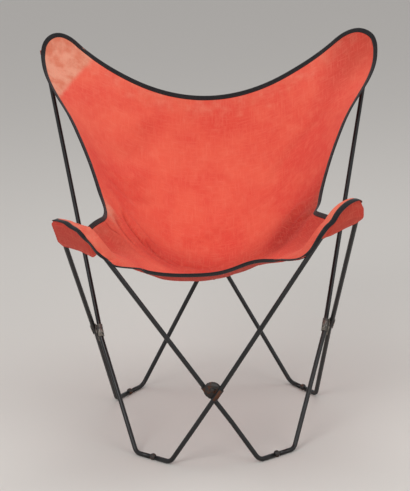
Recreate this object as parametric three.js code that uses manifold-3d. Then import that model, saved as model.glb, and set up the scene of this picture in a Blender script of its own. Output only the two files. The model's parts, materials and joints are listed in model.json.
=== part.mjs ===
import * as THREE from 'three';
import { mergeVertices } from 'three/addons/utils/BufferGeometryUtils.js';
import Module from 'manifold-3d';

// Butterfly sling chair: a folding frame of eight bent rods with riveted brackets, and a canvas sling.
// Millimetres, +Z up, the front of the chair towards -Y, left and right mirrored about X = 0.

// Overall placing of the frame on the floor
const DEPTH_SHIFT = -17;

// Rods
const ROD_RADIUS = 5.5;
const ROD_SIDES = 12;
const BEND_RADIUS = 20;
const BEND_STEPS = 5;
const KNEE = 19;
const FRONT_KNEE = 95;

// Corners of the frame, left side
const FRONT_EAR_X = -298;
const FRONT_EAR_Y = -315;
const FRONT_EAR_Z = 567;
const FRONT_EAR_BAR = 44;
const FRONT_EAR_TURN = -44.5;
const REAR_EAR_X = -375;
const REAR_EAR_Y = 356;
const REAR_EAR_Z = 861;
const REAR_EAR_BAR = 45;
const REAR_EAR_TURN = 35.5;
const FRONT_FOOT_X = -142;
const FRONT_FOOT_Y = -276;
const FRONT_FOOT_BAR = 51;
const FRONT_FOOT_TURN = -37.2;
const REAR_FOOT_X = -222;
const REAR_FOOT_Y = 159;
const REAR_FOOT_BAR = 55;
const REAR_FOOT_TURN = 56.5;
const FOOT_BAR_LIFT = 0.5;

// Pivots of the crossed pairs
const FRONT_PIVOT_Y = -325;
const FRONT_PIVOT_Z = 184;
const REAR_PIVOT_Y = 251.3;
const REAR_PIVOT_Z = 285;
const SIDE_PIVOT_X = -273;
const SIDE_PIVOT_Y = -75;
const SIDE_PIVOT_Z = 244;
const FRONT_PIVOT_AXIS = new THREE.Vector3(0, 0.9925, 0.1225).normalize();
const REAR_PIVOT_AXIS = new THREE.Vector3(0, 0.9813, -0.1925).normalize();
const SIDE_PIVOT_AXIS = new THREE.Vector3(-0.9776, -0.006, -0.2106).normalize();
const FRONT_EAR_AXIS = new THREE.Vector3(-0.6091, -0.5549, -0.5666).normalize();
const REAR_EAR_AXIS = new THREE.Vector3(-0.6769, 0.6265, 0.3864).normalize();

// Bracket leaves
const CLEARANCE = 0.3;
const REAR_LEAF_GAP = 1.1;
const LEAF_THICKNESS = 1.8;
const LEAF_RADIUS = 20;
const REAR_LEAF_RADIUS = 12;
const LEAF_REACH = 13;
const REAR_LEAF_REACH = 30;
const CLASP_LENGTH = 30;
const CLASP_END = 118;
const LEAF_STEPS = 14;

// Rivets
const RIVET_RADIUS = 3;
const RIVET_HEAD_RADIUS = 6.2;
const RIVET_HEAD_HEIGHT = 2.8;
const RIVET_SIDES = 12;
const REAR_HOLE_PLAY = 1.8;
const EYE_RADIUS = 7.5;
const EYE_THICKNESS = 4.5;
const EYE_WIDTH = 9.5;
const EYE_REACH = 17;
const BAR_END = 9.2;

// Feet
const BEAD_RADIUS = 8;
const BEAD_HEIGHT = 7.4;
const BEAD_PLAY = 1.1;

// Sling
const CLOTH = 1.6;
const TAPE = 2.6;
const TAPE_WIDTH = 9;
const TAPE_GAP = 1.7;
const SEAT_COLUMNS = 20;
const CREASE = 0.61;
const HEM_Y = -276;
const HEM_Z = 442;
const BELLY_Y = 28;
const BELLY_Z = 352;
const BACK_TOP_Y = 342;
const BACK_TOP_Z = 736;
const NOTCH_X = -250;
const NOTCH_Y = -15;
const NOTCH_Z = 531;
const CORNER_U = 0.2;
const FRONT_CORNER_V = 0.09;
const REAR_CORNER_V = 0.075;
const FRONT_TIP_OUT = 30;
const FRONT_TIP_LEAD = 10;
const FRONT_TIP_RISE = 84;
const FRONT_SPREAD = 52;
const FRONT_SPREAD_BACK = 14;
const REAR_TIP_OUT = 62;
const REAR_TIP_RISE = 92;
const BELLY_FRONT_RUN = 85;
const BELLY_FRONT_RISE = 14;
const BELLY_MIDDLE_RUN = 12;
const BELLY_REAR_RUN = 102;
const BELLY_REAR_RISE = 30;
const NOTCH_BULGE = 8;
const NOTCH_RUN = 95;
const SHOULDER_X = 12;
const SHOULDER_Y = 122;
const SHOULDER_Z = 54;
const EAR_SEAT = 10.2;
const TIP_LEAN = 0.35;
const FLAP_PLAY = 2.2;
const FLAP_TURN = 3.4;
const FOLD_DEPTH = 4;
const FRONT_FLAP_MARGIN = 17;
const REAR_FLAP_MARGIN = 14;
const FRONT_FLAP_TIP = 24;
const REAR_FLAP_TIP = 34;
const FRONT_LAP = 2.9;
const REAR_LAP = 3;
const FRONT_FLAP_DROP = 58;
const REAR_FLAP_DROP = 62;

const UP = new THREE.Vector3(0, 0, 1);
const wasm = await Module();
wasm.setup();

const point = (x, y, z) => new THREE.Vector3(x, y, z);
const along = (start, direction, distance) => start.clone().addScaledVector(direction, distance);
const plan = (degrees) => point(Math.cos(degrees * Math.PI / 180), Math.sin(degrees * Math.PI / 180), 0);
const clamp = THREE.MathUtils.clamp;
const smooth = THREE.MathUtils.smoothstep;

function toSolid(geometry) {
  const bare = geometry.clone();
  bare.deleteAttribute('normal');
  bare.deleteAttribute('uv');
  const joined = mergeVertices(bare, 1e-4);
  const vertProperties = new Float32Array(joined.attributes.position.array);
  const triVerts = new Uint32Array(joined.index.array);
  return new wasm.Manifold(new wasm.Mesh({ numProp: 3, vertProperties, triVerts }));
}

function toGeometry(solid) {
  const mesh = solid.getMesh();
  const geometry = new THREE.BufferGeometry();
  geometry.setAttribute('position', new THREE.BufferAttribute(mesh.vertProperties, 3));
  geometry.setIndex(new THREE.BufferAttribute(mesh.triVerts, 1));
  geometry.computeVertexNormals();
  return geometry;
}

// Places a shape whose own X, Y and Z follow the given directions
function placed(geometry, origin, x, y, z) {
  return geometry.applyMatrix4(new THREE.Matrix4().makeBasis(x, y, z).setPosition(origin));
}

// A route of straight runs with one ring of the tube at each of its points
class RodPath extends THREE.Curve {
  constructor(points) {
    super();
    this.points = points;
  }

  getUtoTmapping(u) {
    return u;
  }

  getPoint(t, target = new THREE.Vector3()) {
    const last = this.points.length - 1;
    const place = clamp(t, 0, 1) * last;
    const index = Math.min(Math.floor(place + 1e-9), last - 1);
    return target.lerpVectors(this.points[index], this.points[index + 1], place - index);
  }

  getTangent(t, target = new THREE.Vector3()) {
    const last = this.points.length - 1;
    const index = Math.round(clamp(t, 0, 1) * last);
    target.set(0, 0, 0);
    if (index > 0) {
      target.add(this.points[index].clone().sub(this.points[index - 1]).normalize());
    }
    if (index < last) {
      target.add(this.points[index + 1].clone().sub(this.points[index]).normalize());
    }
    return target.normalize();
  }
}

// Rounds the sharp corners of a route and leaves its slight knees
function rounded(corners, radius) {
  const route = [corners[0]];
  for (let i = 1; i < corners.length - 1; i += 1) {
    const a = corners[i].clone().sub(corners[i - 1]).normalize();
    const b = corners[i + 1].clone().sub(corners[i]).normalize();
    const turn = a.angleTo(b);
    if (turn < 0.25) {
      route.push(corners[i]);
      continue;
    }
    const start = along(corners[i], a, -radius * Math.tan(turn / 2));
    const side = b.clone().addScaledVector(a, -Math.cos(turn)).normalize();
    for (let k = 0; k <= BEND_STEPS; k += 1) {
      const angle = turn * k / BEND_STEPS;
      const step = along(start, a, radius * Math.sin(angle));
      route.push(step.addScaledVector(side, radius * (1 - Math.cos(angle))));
    }
  }
  route.push(corners[corners.length - 1]);
  return route;
}

function tube(route, radius, sides) {
  const section = new THREE.Shape();
  for (let i = 0; i < sides; i += 1) {
    const angle = 2 * Math.PI * (i + 0.5) / sides;
    const x = radius * Math.cos(angle);
    const y = radius * Math.sin(angle);
    if (i === 0) {
      section.moveTo(x, y);
    } else {
      section.lineTo(x, y);
    }
  }
  const path = new RodPath(route);
  return new THREE.ExtrudeGeometry(section, { steps: route.length - 1, extrudePath: path, bevelEnabled: false });
}

// The flattened end of a rod at an ear, on one side of the middle plane, with its rivet hole
function eye(centre, axis, barDirection, layer) {
  const x = barDirection.clone().addScaledVector(axis, -barDirection.dot(axis)).normalize();
  const y = axis.clone().cross(x);
  const shape = new THREE.Shape();
  const half = EYE_WIDTH / 2;
  const meet = Math.asin(half / EYE_RADIUS);
  shape.moveTo(EYE_REACH, -half);
  shape.lineTo(EYE_REACH, half);
  shape.absarc(0, 0, EYE_RADIUS, meet, 2 * Math.PI - meet, false);
  const flat = new THREE.ExtrudeGeometry(shape, { depth: EYE_THICKNESS, bevelEnabled: false, curveSegments: 9 });
  flat.translate(0, 0, layer > 0 ? CLEARANCE / 2 : -CLEARANCE / 2 - EYE_THICKNESS);
  return toSolid(placed(flat, centre, x, y, axis));
}

function pin(centre, axis, radius, half) {
  const shaft = new THREE.CylinderGeometry(radius, radius, 2 * half, RIVET_SIDES);
  shaft.applyQuaternion(new THREE.Quaternion().setFromUnitVectors(point(0, 1, 0), axis));
  shaft.translate(centre.x, centre.y, centre.z);
  return toSolid(shaft);
}

// A rivet with two domed heads on a shank that grips its plates
function rivet(centre, axis, grip) {
  const profile = [new THREE.Vector2(0, -grip - RIVET_HEAD_HEIGHT)];
  for (let i = 1; i <= 3; i += 1) {
    const angle = Math.PI / 2 * i / 3;
    const drop = RIVET_HEAD_HEIGHT * Math.cos(angle);
    profile.push(new THREE.Vector2(RIVET_HEAD_RADIUS * Math.sin(angle), -grip - drop));
  }
  profile.push(new THREE.Vector2(RIVET_RADIUS, -grip));
  const upper = profile.map((p) => new THREE.Vector2(p.x, -p.y)).reverse();
  const turned = new THREE.LatheGeometry(profile.concat(upper), RIVET_SIDES);
  turned.applyQuaternion(new THREE.Quaternion().setFromUnitVectors(point(0, 1, 0), axis));
  turned.translate(centre.x, centre.y, centre.z);
  return toGeometry(toSolid(turned));
}

// The round bead of a foot, standing on a flat of its own
function bead(foot) {
  const ball = new THREE.SphereGeometry(BEAD_RADIUS, 14, 9);
  ball.rotateX(Math.PI / 2);
  ball.translate(foot.x, foot.y, BEAD_HEIGHT);
  const above = new THREE.BoxGeometry(4 * BEAD_RADIUS, 4 * BEAD_RADIUS, 4 * BEAD_RADIUS);
  above.translate(foot.x, foot.y, 2 * BEAD_RADIUS);
  return toGeometry(toSolid(ball).intersect(toSolid(above)));
}

// Half of the bracket stack: where a rod lies from the middle plane between two leaves
const rodLayer = (gap) => gap / 2 + LEAF_THICKNESS + CLEARANCE + ROD_RADIUS;

// Where one rod of a crossed pair runs past its pivot: layer is its side along the axis
function crossing(pivot, axis, top, bottom, reach, layer, above, gap = CLEARANCE) {
  const run = bottom.clone().sub(top);
  run.addScaledVector(axis, -run.dot(axis)).normalize();
  const side = axis.clone().cross(run).normalize();
  if (side.z * above < 0) {
    side.negate();
  }
  const centre = along(along(pivot, side, reach), axis, layer * rodLayer(gap));
  return { pivot, axis, run, side, centre, reach, layer, gap };
}

// A stamped leaf: round at the pivot, its far edge rolled around the rod
function leaf(place, radius, hole) {
  const half = CLASP_LENGTH / 2;
  const far = Math.hypot(place.reach, half);
  const meet = Math.atan2(half, place.reach) + Math.acos(Math.min(1, radius / far));
  const outline = new THREE.Shape();
  outline.moveTo(place.reach, -half);
  outline.lineTo(place.reach, half);
  for (let i = 0; i <= LEAF_STEPS; i += 1) {
    const angle = meet + (2 * Math.PI - 2 * meet) * i / LEAF_STEPS;
    outline.lineTo(radius * Math.cos(angle), radius * Math.sin(angle));
  }
  const plate = new THREE.ExtrudeGeometry(outline, { depth: LEAF_THICKNESS, bevelEnabled: false });
  const outward = place.axis.clone().multiplyScalar(place.layer);
  const across = outward.clone().cross(place.side);
  placed(plate, along(place.pivot, outward, place.gap / 2), place.side, across, outward);
  const inner = ROD_RADIUS + CLEARANCE;
  const end = CLASP_END * Math.PI / 180;
  const roll = new THREE.Shape();
  roll.absarc(0, 0, inner + LEAF_THICKNESS, -Math.PI / 2 - 0.02, end, false);
  roll.absarc(0, 0, inner, end, -Math.PI / 2 - 0.02, true);
  const clasp = new THREE.ExtrudeGeometry(roll, { depth: CLASP_LENGTH, bevelEnabled: false, curveSegments: 8 });
  clasp.translate(0, 0, -half);
  placed(clasp, place.centre, place.side, outward, place.side.clone().cross(outward));
  const body = toSolid(plate).add(toSolid(clasp));
  return toGeometry(body.subtract(pin(place.pivot, place.axis, hole, 12)));
}

// Corners and bars of the left side
const earF = point(FRONT_EAR_X, FRONT_EAR_Y, FRONT_EAR_Z);
const earR = point(REAR_EAR_X, REAR_EAR_Y, REAR_EAR_Z);
const footF = point(FRONT_FOOT_X, FRONT_FOOT_Y, ROD_RADIUS + FOOT_BAR_LIFT);
const footR = point(REAR_FOOT_X, REAR_FOOT_Y, ROD_RADIUS + FOOT_BAR_LIFT);
const earFBar = plan(FRONT_EAR_TURN);
const earRBar = plan(REAR_EAR_TURN);
const footFBar = plan(FRONT_FOOT_TURN);
const footRBar = plan(REAR_FOOT_TURN);
const mirrored = (p) => point(-p.x, p.y, p.z);

const frontTop = along(earF, earFBar, FRONT_EAR_BAR);
const frontFoot = mirrored(along(footF, footFBar, FRONT_FOOT_BAR));
const sideATop = along(earF, earFBar, -FRONT_EAR_BAR);
const sideAFoot = along(footR, footRBar, -REAR_FOOT_BAR);
const sideBTop = along(earR, earRBar, -REAR_EAR_BAR);
const sideBFoot = along(footF, footFBar, -FRONT_FOOT_BAR);
const rearTop = along(earR, earRBar, REAR_EAR_BAR);
const rearFoot = mirrored(along(footR, footRBar, REAR_FOOT_BAR));

const frontPivot = point(0, FRONT_PIVOT_Y, FRONT_PIVOT_Z);
const rearPivot = point(0, REAR_PIVOT_Y, REAR_PIVOT_Z);
const sidePivot = point(SIDE_PIVOT_X, SIDE_PIVOT_Y, SIDE_PIVOT_Z);
const frontCross = crossing(frontPivot, FRONT_PIVOT_AXIS, frontTop, frontFoot, LEAF_REACH, 1, -1);
const frontCrossMirror = crossing(
  frontPivot, FRONT_PIVOT_AXIS, mirrored(frontTop), mirrored(frontFoot), LEAF_REACH, -1, -1);
const rearCross = crossing(
  rearPivot, REAR_PIVOT_AXIS, rearTop, rearFoot, REAR_LEAF_REACH, 1, 1, REAR_LEAF_GAP);
const rearCrossMirror = crossing(
  rearPivot, REAR_PIVOT_AXIS, mirrored(rearTop), mirrored(rearFoot), REAR_LEAF_REACH, -1, 1, REAR_LEAF_GAP);
const sideACross = crossing(sidePivot, SIDE_PIVOT_AXIS, sideATop, sideAFoot, LEAF_REACH, 1, 1);
const sideBCross = crossing(sidePivot, SIDE_PIVOT_AXIS, sideBTop, sideBFoot, LEAF_REACH, -1, 1);

// One rod: from its eye at the ear, past its bracket, to its bar at the foot
function rod(ear, earAxis, earLayer, top, place, bottom, foot, footPlay, lowKnee) {
  const earBar = top.clone().sub(ear).normalize();
  const footBar = bottom.clone().sub(foot).normalize();
  const corners = [
    along(ear, earBar, BAR_END),
    top,
    along(place.centre, place.run, -KNEE),
    along(place.centre, place.run, lowKnee),
    bottom,
    along(foot, footBar, BEAD_RADIUS + footPlay),
  ];
  const body = toSolid(tube(rounded(corners, BEND_RADIUS), ROD_RADIUS, ROD_SIDES));
  const flat = eye(ear, earAxis, earBar, earLayer);
  return toGeometry(body.add(flat).subtract(pin(ear, earAxis, RIVET_RADIUS + CLEARANCE, 12)));
}

// Sling surface: v runs from the front hem to the top of the back, u across from -1 to 1
const earFOut = point(earFBar.y, -earFBar.x, 0);
const earROut = point(-earRBar.y, earRBar.x, 0);
const cornerF = along(along(along(earF, earFOut, FRONT_TIP_OUT), earFBar, -FRONT_TIP_LEAD), UP, FRONT_TIP_RISE);
const cornerR = along(along(earR, earROut, REAR_TIP_OUT), UP, REAR_TIP_RISE);
const middle = new THREE.CatmullRomCurve3([
  point(0, HEM_Y, HEM_Z),
  point(0, HEM_Y * 0.62 + BELLY_Y * 0.38, HEM_Z * 0.44 + BELLY_Z * 0.56),
  point(0, BELLY_Y - BELLY_FRONT_RUN, BELLY_Z + BELLY_FRONT_RISE),
  point(0, BELLY_Y + BELLY_MIDDLE_RUN, BELLY_Z),
  point(0, BELLY_Y + BELLY_REAR_RUN, BELLY_Z + BELLY_REAR_RISE),
  point(0, BELLY_Y * 0.47 + BACK_TOP_Y * 0.53, BELLY_Z * 0.74 + BACK_TOP_Z * 0.26),
  point(0, BELLY_Y * 0.2 + BACK_TOP_Y * 0.8, BELLY_Z * 0.4 + BACK_TOP_Z * 0.6),
  point(0, BACK_TOP_Y, BACK_TOP_Z),
], false, 'centripetal');
const rim = new THREE.CatmullRomCurve3([
  cornerF,
  point(NOTCH_X * 0.35 + FRONT_EAR_X * 0.65, NOTCH_Y * 0.3 + FRONT_EAR_Y * 0.7, NOTCH_Z * 0.4 + FRONT_EAR_Z * 0.6),
  point(NOTCH_X - NOTCH_BULGE, NOTCH_Y - NOTCH_RUN, NOTCH_Z),
  point(NOTCH_X, NOTCH_Y, NOTCH_Z),
  point(NOTCH_X * 0.8 + REAR_EAR_X * 0.2, NOTCH_Y * 0.8 + REAR_EAR_Y * 0.2, NOTCH_Z * 0.78 + REAR_EAR_Z * 0.22),
  point(NOTCH_X * 0.45 + REAR_EAR_X * 0.55, NOTCH_Y * 0.6 + REAR_EAR_Y * 0.4, NOTCH_Z * 0.5 + REAR_EAR_Z * 0.5),
  point(REAR_EAR_X - SHOULDER_X, REAR_EAR_Y - SHOULDER_Y, REAR_EAR_Z - SHOULDER_Z),
  cornerR,
], false, 'centripetal');

// Draws the cloth towards the inner side of an ear bar
function seatOnEar(p, ear, bar, out, slope) {
  const offset = p.clone().sub(ear);
  const a = offset.dot(bar);
  const c = offset.dot(out);
  const e = offset.z;
  const seat = -EAR_SEAT + slope * Math.min(e, 0) + TIP_LEAN * Math.max(e, 0);
  const reach = Math.hypot(Math.max(Math.abs(a) - 30, 0), Math.max(Math.abs(e) - 25, 0));
  const weight = 1 - smooth(reach, 0, 120);
  p.addScaledVector(out, (seat - c) * weight);
  return p;
}

function cloth(u, v) {
  const side = Math.abs(u);
  const centre = middle.getPoint(v);
  const edge = rim.getPoint(v);
  const power = 2 + 1.1 * (1 - smooth(v, 0, 0.35)) + 0.25 * (1 - smooth(v, 0.35, 0.9));
  const rise = Math.pow(side, power);
  const p = point(edge.x * side, centre.y + (edge.y - centre.y) * rise, centre.z + (edge.z - centre.z) * rise);
  const crease = smooth(side, 0.3, 0.85) * (1 - smooth(side, 0.85, 1)) * Math.exp(-Math.pow((v - 0.47) / 0.13, 2));
  p.z += FOLD_DEPTH * crease * Math.sin(2 * Math.PI * (v * 9 - side * 2.2));
  const lead = (1 - smooth(v, 0, 0.06)) * smooth(side, 0.45, 0.85);
  const trail = Math.exp(-Math.pow((v - 0.085) / 0.04, 2)) * smooth(side, 0.6, 0.95);
  p.addScaledVector(earFBar, FRONT_SPREAD * lead - FRONT_SPREAD_BACK * trail);
  seatOnEar(p, earF, earFBar, earFOut, 0.62);
  seatOnEar(p, earR, earRBar, earROut, 0.68);
  return u < 0 ? p : mirrored(p);
}

function clothNormal(u, v) {
  const h = 0.004;
  const du = cloth(Math.min(u + h, 1), v).sub(cloth(Math.max(u - h, -1), v));
  const dv = cloth(u, Math.min(v + h, 1)).sub(cloth(u, Math.max(v - h, 0)));
  return du.cross(dv).normalize();
}

// Half width of the cloth at v, with its rounded ears, inset by a share of the width and of the length
function halfWidth(v, insetU, insetV) {
  let share = 1;
  if (v < FRONT_CORNER_V) {
    share = (FRONT_CORNER_V - v) / (FRONT_CORNER_V - insetV);
    share = Math.sqrt(Math.max(0, 1 - share * share));
  } else if (v > 1 - REAR_CORNER_V) {
    share = (v - 1 + REAR_CORNER_V) / (REAR_CORNER_V - insetV);
    share = Math.sqrt(Math.max(0, 1 - share * share));
  }
  return 1 - CORNER_U + (CORNER_U - insetU) * share;
}

const WIDTH_UNIT = 300;
const LENGTH_UNIT = 1130;

// Closed sheet between an upper and a lower grid of points, given row by row
function sheet(rows, columns, place, thickness) {
  const positions = [];
  const index = [];
  const width = columns + 1;
  const count = rows.length * width;
  for (const layer of [0.5, -0.5]) {
    for (const row of rows) {
      for (let j = 0; j <= columns; j += 1) {
        const spot = place(row, j / columns);
        const p = along(spot.point, spot.normal, layer * thickness);
        positions.push(p.x, p.y, p.z);
      }
    }
  }
  const quad = (a, b, c, d) => index.push(a, b, c, a, c, d);
  for (let i = 0; i < rows.length - 1; i += 1) {
    for (let j = 0; j < columns; j += 1) {
      const a = i * width + j;
      quad(a, a + 1, a + 1 + width, a + width);
      quad(count + a, count + a + width, count + a + 1 + width, count + a + 1);
    }
    const left = i * width;
    const right = left + columns;
    quad(left, left + width, count + left + width, count + left);
    quad(right, count + right, count + right + width, right + width);
  }
  const last = (rows.length - 1) * width;
  for (let j = 0; j < columns; j += 1) {
    quad(j, count + j, count + j + 1, j + 1);
    quad(last + j, last + j + 1, count + last + j + 1, count + last + j);
  }
  const geometry = new THREE.BufferGeometry();
  geometry.setAttribute('position', new THREE.Float32BufferAttribute(positions, 3));
  geometry.setIndex(index);
  geometry.computeVertexNormals();
  return geometry;
}

function rowsBetween(start, end, count) {
  return Array.from({ length: count + 1 }, (_, i) => start + (end - start) * i / count);
}

// Rows that follow the rounding of an ear: from its end (share 0) to its full width (share 1)
function cornerRows(depth, insetV, count) {
  return Array.from({ length: count }, (_, i) => depth - (depth - insetV) * Math.cos(Math.PI / 2 * i / count));
}

const panelInset = TAPE_WIDTH + TAPE_GAP;
const insetU = panelInset / WIDTH_UNIT;
const insetV = panelInset / LENGTH_UNIT;
const seam = CLEARANCE / LENGTH_UNIT;

function panel(rows) {
  const place = (v, share) => {
    const u = (2 * share - 1) * halfWidth(v, insetU, insetV);
    return { point: cloth(u, v), normal: clothNormal(u, v) };
  };
  return sheet(rows, SEAT_COLUMNS, place, CLOTH);
}

const seatRows = cornerRows(FRONT_CORNER_V, insetV, 8).concat(rowsBetween(FRONT_CORNER_V, CREASE - seam, 14));
const backRows = rowsBetween(CREASE + seam, 1 - REAR_CORNER_V, 11).concat(
  cornerRows(REAR_CORNER_V, insetV, 4).reverse().map((v) => 1 - v));

// Points round the border, from the middle of one end to the crease, as [u, v] for a given inset
function borderSpot(t, fromFront, insetWidth, insetLength) {
  const depth = fromFront ? FRONT_CORNER_V : REAR_CORNER_V;
  const run = fromFront ? CREASE - seam - depth : 1 - CREASE - seam - depth;
  let u = 0;
  let v = 0;
  if (t < 0.25) {
    u = (1 - CORNER_U) * t / 0.25;
    v = insetLength;
  } else if (t < 0.55) {
    const angle = Math.PI / 2 * (t - 0.25) / 0.3;
    u = 1 - CORNER_U + (CORNER_U - insetWidth) * Math.sin(angle);
    v = depth - (depth - insetLength) * Math.cos(angle);
  } else {
    u = 1 - insetWidth;
    v = depth + run * (t - 0.55) / 0.45;
  }
  return [u, fromFront ? v : 1 - v];
}

// Binding tape round the edge of one panel, from crease to crease
function binding(fromFront) {
  const rows = [];
  const count = 40;
  for (let i = -count; i <= count; i += 1) {
    rows.push(i / count);
  }
  const place = (t, share) => {
    const width = TAPE_WIDTH * (fromFront ? 1 - share : share);
    const spot = borderSpot(Math.abs(t), fromFront, width / WIDTH_UNIT, width / LENGTH_UNIT);
    const u = t < 0 ? -spot[0] : spot[0];
    return { point: cloth(u, spot[1]), normal: clothNormal(u, spot[1]) };
  };
  return sheet(rows, 1, place, TAPE);
}

// Pocket of an ear: a flap outside the bar and the two rods that leave it
function pocket(ear, bar, out, rodA, rodB, drop, tip, lap, half, margin) {
  const rows = rowsBetween(0, 1, 7);
  const limit = half + margin;
  const spot = (down, share) => {
    const a = (2 * share - 1) * limit;
    const mix = clamp(0.5 + a / (2 * half), 0, 1);
    const fall = rodA.clone().lerp(rodB, mix).normalize();
    const tall = tip * (1 - 0.85 * Math.pow(share * 2 - 1, 2));
    const b = -tall + (drop + tall) * down;
    const wrap = smooth(Math.abs(a), half + ROD_RADIUS, limit);
    const over = smooth(-b, FLAP_TURN, tall);
    const beside = (EAR_SEAT + FLAP_PLAY) * (1 - wrap * 0.8);
    const above = TIP_LEAN * tall - EAR_SEAT + lap;
    const p = along(ear, bar, a);
    if (b > 0) {
      p.addScaledVector(fall, b);
    } else {
      p.addScaledVector(UP, -b);
    }
    return p.addScaledVector(out, beside + (above - beside) * over);
  };
  const place = (down, share) => {
    const h = 0.01;
    const across = spot(down, Math.min(share + h, 1)).sub(spot(down, Math.max(share - h, 0)));
    const along2 = spot(Math.min(down + h, 1), share).sub(spot(Math.max(down - h, 0), share));
    return { point: spot(down, share), normal: across.cross(along2).normalize() };
  };
  return sheet(rows, 10, place, CLOTH);
}

const direction = (top, bottom) => bottom.clone().sub(top).normalize();
const flapF = pocket(
  earF, earFBar, earFOut, direction(sideATop, sideAFoot), direction(frontTop, frontFoot), FRONT_FLAP_DROP, FRONT_FLAP_TIP,
  FRONT_LAP, FRONT_EAR_BAR, FRONT_FLAP_MARGIN);
const flapR = pocket(
  earR, earRBar, earROut, direction(sideBTop, sideBFoot), direction(rearTop, rearFoot), REAR_FLAP_DROP, REAR_FLAP_TIP,
  REAR_LAP, REAR_EAR_BAR, REAR_FLAP_MARGIN);

// Finishes
const finish = (color, metalness, roughness) => new THREE.MeshStandardMaterial({ color, metalness, roughness });
const blackPaint = finish(0x17171a, 0.5, 0.45);
const bareSteel = finish(0x8d8a84, 0.9, 0.5);
const rustySteel = finish(0x5a3a28, 0.6, 0.75);
const coralCanvas = finish(0xe85c4b, 0, 0.9);
const blackTape = finish(0x141416, 0, 0.85);

const chair = new THREE.Group();
chair.name = 'butterfly_sling_chair';

function put(name, geometry, material) {
  geometry.translate(0, DEPTH_SHIFT, 0);
  const mesh = new THREE.Mesh(geometry, material);
  mesh.name = name;
  chair.add(mesh);
}

// A mirrored copy faces out again once each triangle is turned round
function mirror(geometry) {
  const copy = geometry.clone();
  copy.scale(-1, 1, 1);
  const order = copy.index.array;
  for (let i = 0; i < order.length; i += 3) {
    const first = order[i];
    order[i] = order[i + 1];
    order[i + 1] = first;
  }
  copy.computeVertexNormals();
  return copy;
}

function putPair(leftName, rightName, geometry, material) {
  const right = mirror(geometry);
  put(leftName, geometry, material);
  put(rightName, right, material);
}

const earGrip = CLEARANCE / 2 + EYE_THICKNESS + CLEARANCE;
const leafGrip = (gap) => gap / 2 + LEAF_THICKNESS + CLEARANCE;
const frontRod = rod(earF, FRONT_EAR_AXIS, 1, frontTop, frontCross, frontFoot, mirrored(footF), BEAD_PLAY, FRONT_KNEE);
const earFAxisMirror = point(-FRONT_EAR_AXIS.x, FRONT_EAR_AXIS.y, FRONT_EAR_AXIS.z);
const frontRodMirror = rod(
  mirrored(earF), earFAxisMirror, 1, mirrored(frontTop), frontCrossMirror, mirrored(frontFoot), footF, BEAD_PLAY,
  FRONT_KNEE);
put('front_rod_left_ear', frontRod, blackPaint);
put('front_rod_right_ear', frontRodMirror, blackPaint);

const earRAxisMirror = point(-REAR_EAR_AXIS.x, REAR_EAR_AXIS.y, REAR_EAR_AXIS.z);
const rearRod = rod(earR, REAR_EAR_AXIS, 1, rearTop, rearCross, rearFoot, mirrored(footR), BEAD_PLAY, KNEE);
const rearRodMirror = rod(
  mirrored(earR), earRAxisMirror, 1, mirrored(rearTop), rearCrossMirror, mirrored(rearFoot), footR, BEAD_PLAY, KNEE);
put('rear_rod_left_ear', rearRod, blackPaint);
put('rear_rod_right_ear', rearRodMirror, blackPaint);

const sideA = rod(earF, FRONT_EAR_AXIS, -1, sideATop, sideACross, sideAFoot, footR, CLEARANCE, KNEE);
const sideB = rod(earR, REAR_EAR_AXIS, -1, sideBTop, sideBCross, sideBFoot, footF, CLEARANCE, KNEE);
putPair('left_rod_front_ear', 'right_rod_front_ear', sideA, blackPaint);
putPair('left_rod_rear_ear', 'right_rod_rear_ear', sideB, blackPaint);

const leafHole = RIVET_RADIUS + CLEARANCE;
put('front_bracket_back_leaf', leaf(frontCross, LEAF_RADIUS, leafHole), rustySteel);
put('front_bracket_front_leaf', leaf(frontCrossMirror, LEAF_RADIUS, leafHole), rustySteel);
put('rear_bracket_back_leaf', leaf(rearCross, REAR_LEAF_RADIUS, leafHole), rustySteel);
put('rear_bracket_front_leaf', leaf(rearCrossMirror, REAR_LEAF_RADIUS, leafHole + REAR_HOLE_PLAY), rustySteel);
putPair('left_bracket_outer_leaf', 'right_bracket_outer_leaf', leaf(sideACross, LEAF_RADIUS, leafHole), bareSteel);
putPair('left_bracket_inner_leaf', 'right_bracket_inner_leaf', leaf(sideBCross, LEAF_RADIUS, leafHole), bareSteel);

put('front_bracket_rivet', rivet(frontPivot, FRONT_PIVOT_AXIS, leafGrip(CLEARANCE)), rustySteel);
put('rear_bracket_rivet', rivet(rearPivot, REAR_PIVOT_AXIS, leafGrip(REAR_LEAF_GAP)), rustySteel);
const sideRivet = rivet(sidePivot, SIDE_PIVOT_AXIS, leafGrip(CLEARANCE));
putPair('left_bracket_rivet', 'right_bracket_rivet', sideRivet, bareSteel);
putPair('front_left_ear_rivet', 'front_right_ear_rivet', rivet(earF, FRONT_EAR_AXIS, earGrip), blackPaint);
putPair('rear_left_ear_rivet', 'rear_right_ear_rivet', rivet(earR, REAR_EAR_AXIS, earGrip), blackPaint);
putPair('front_left_foot_bead', 'front_right_foot_bead', bead(footF), rustySteel);
putPair('rear_left_foot_bead', 'rear_right_foot_bead', bead(footR), rustySteel);

put('sling_seat', panel(seatRows), coralCanvas);
put('sling_back', panel(backRows), coralCanvas);
put('seat_binding', binding(true), blackTape);
put('back_binding', binding(false), blackTape);
putPair('front_left_pocket', 'front_right_pocket', flapF, coralCanvas);
putPair('rear_left_pocket', 'rear_right_pocket', flapR, coralCanvas);

export default chair;
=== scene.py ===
"""Dressed model of a folding butterfly chair: worn black rods, riveted brackets and a faded coral sling."""

import json
import math

import bmesh
import bpy
import numpy as np
from mathutils import Matrix, Vector


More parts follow.
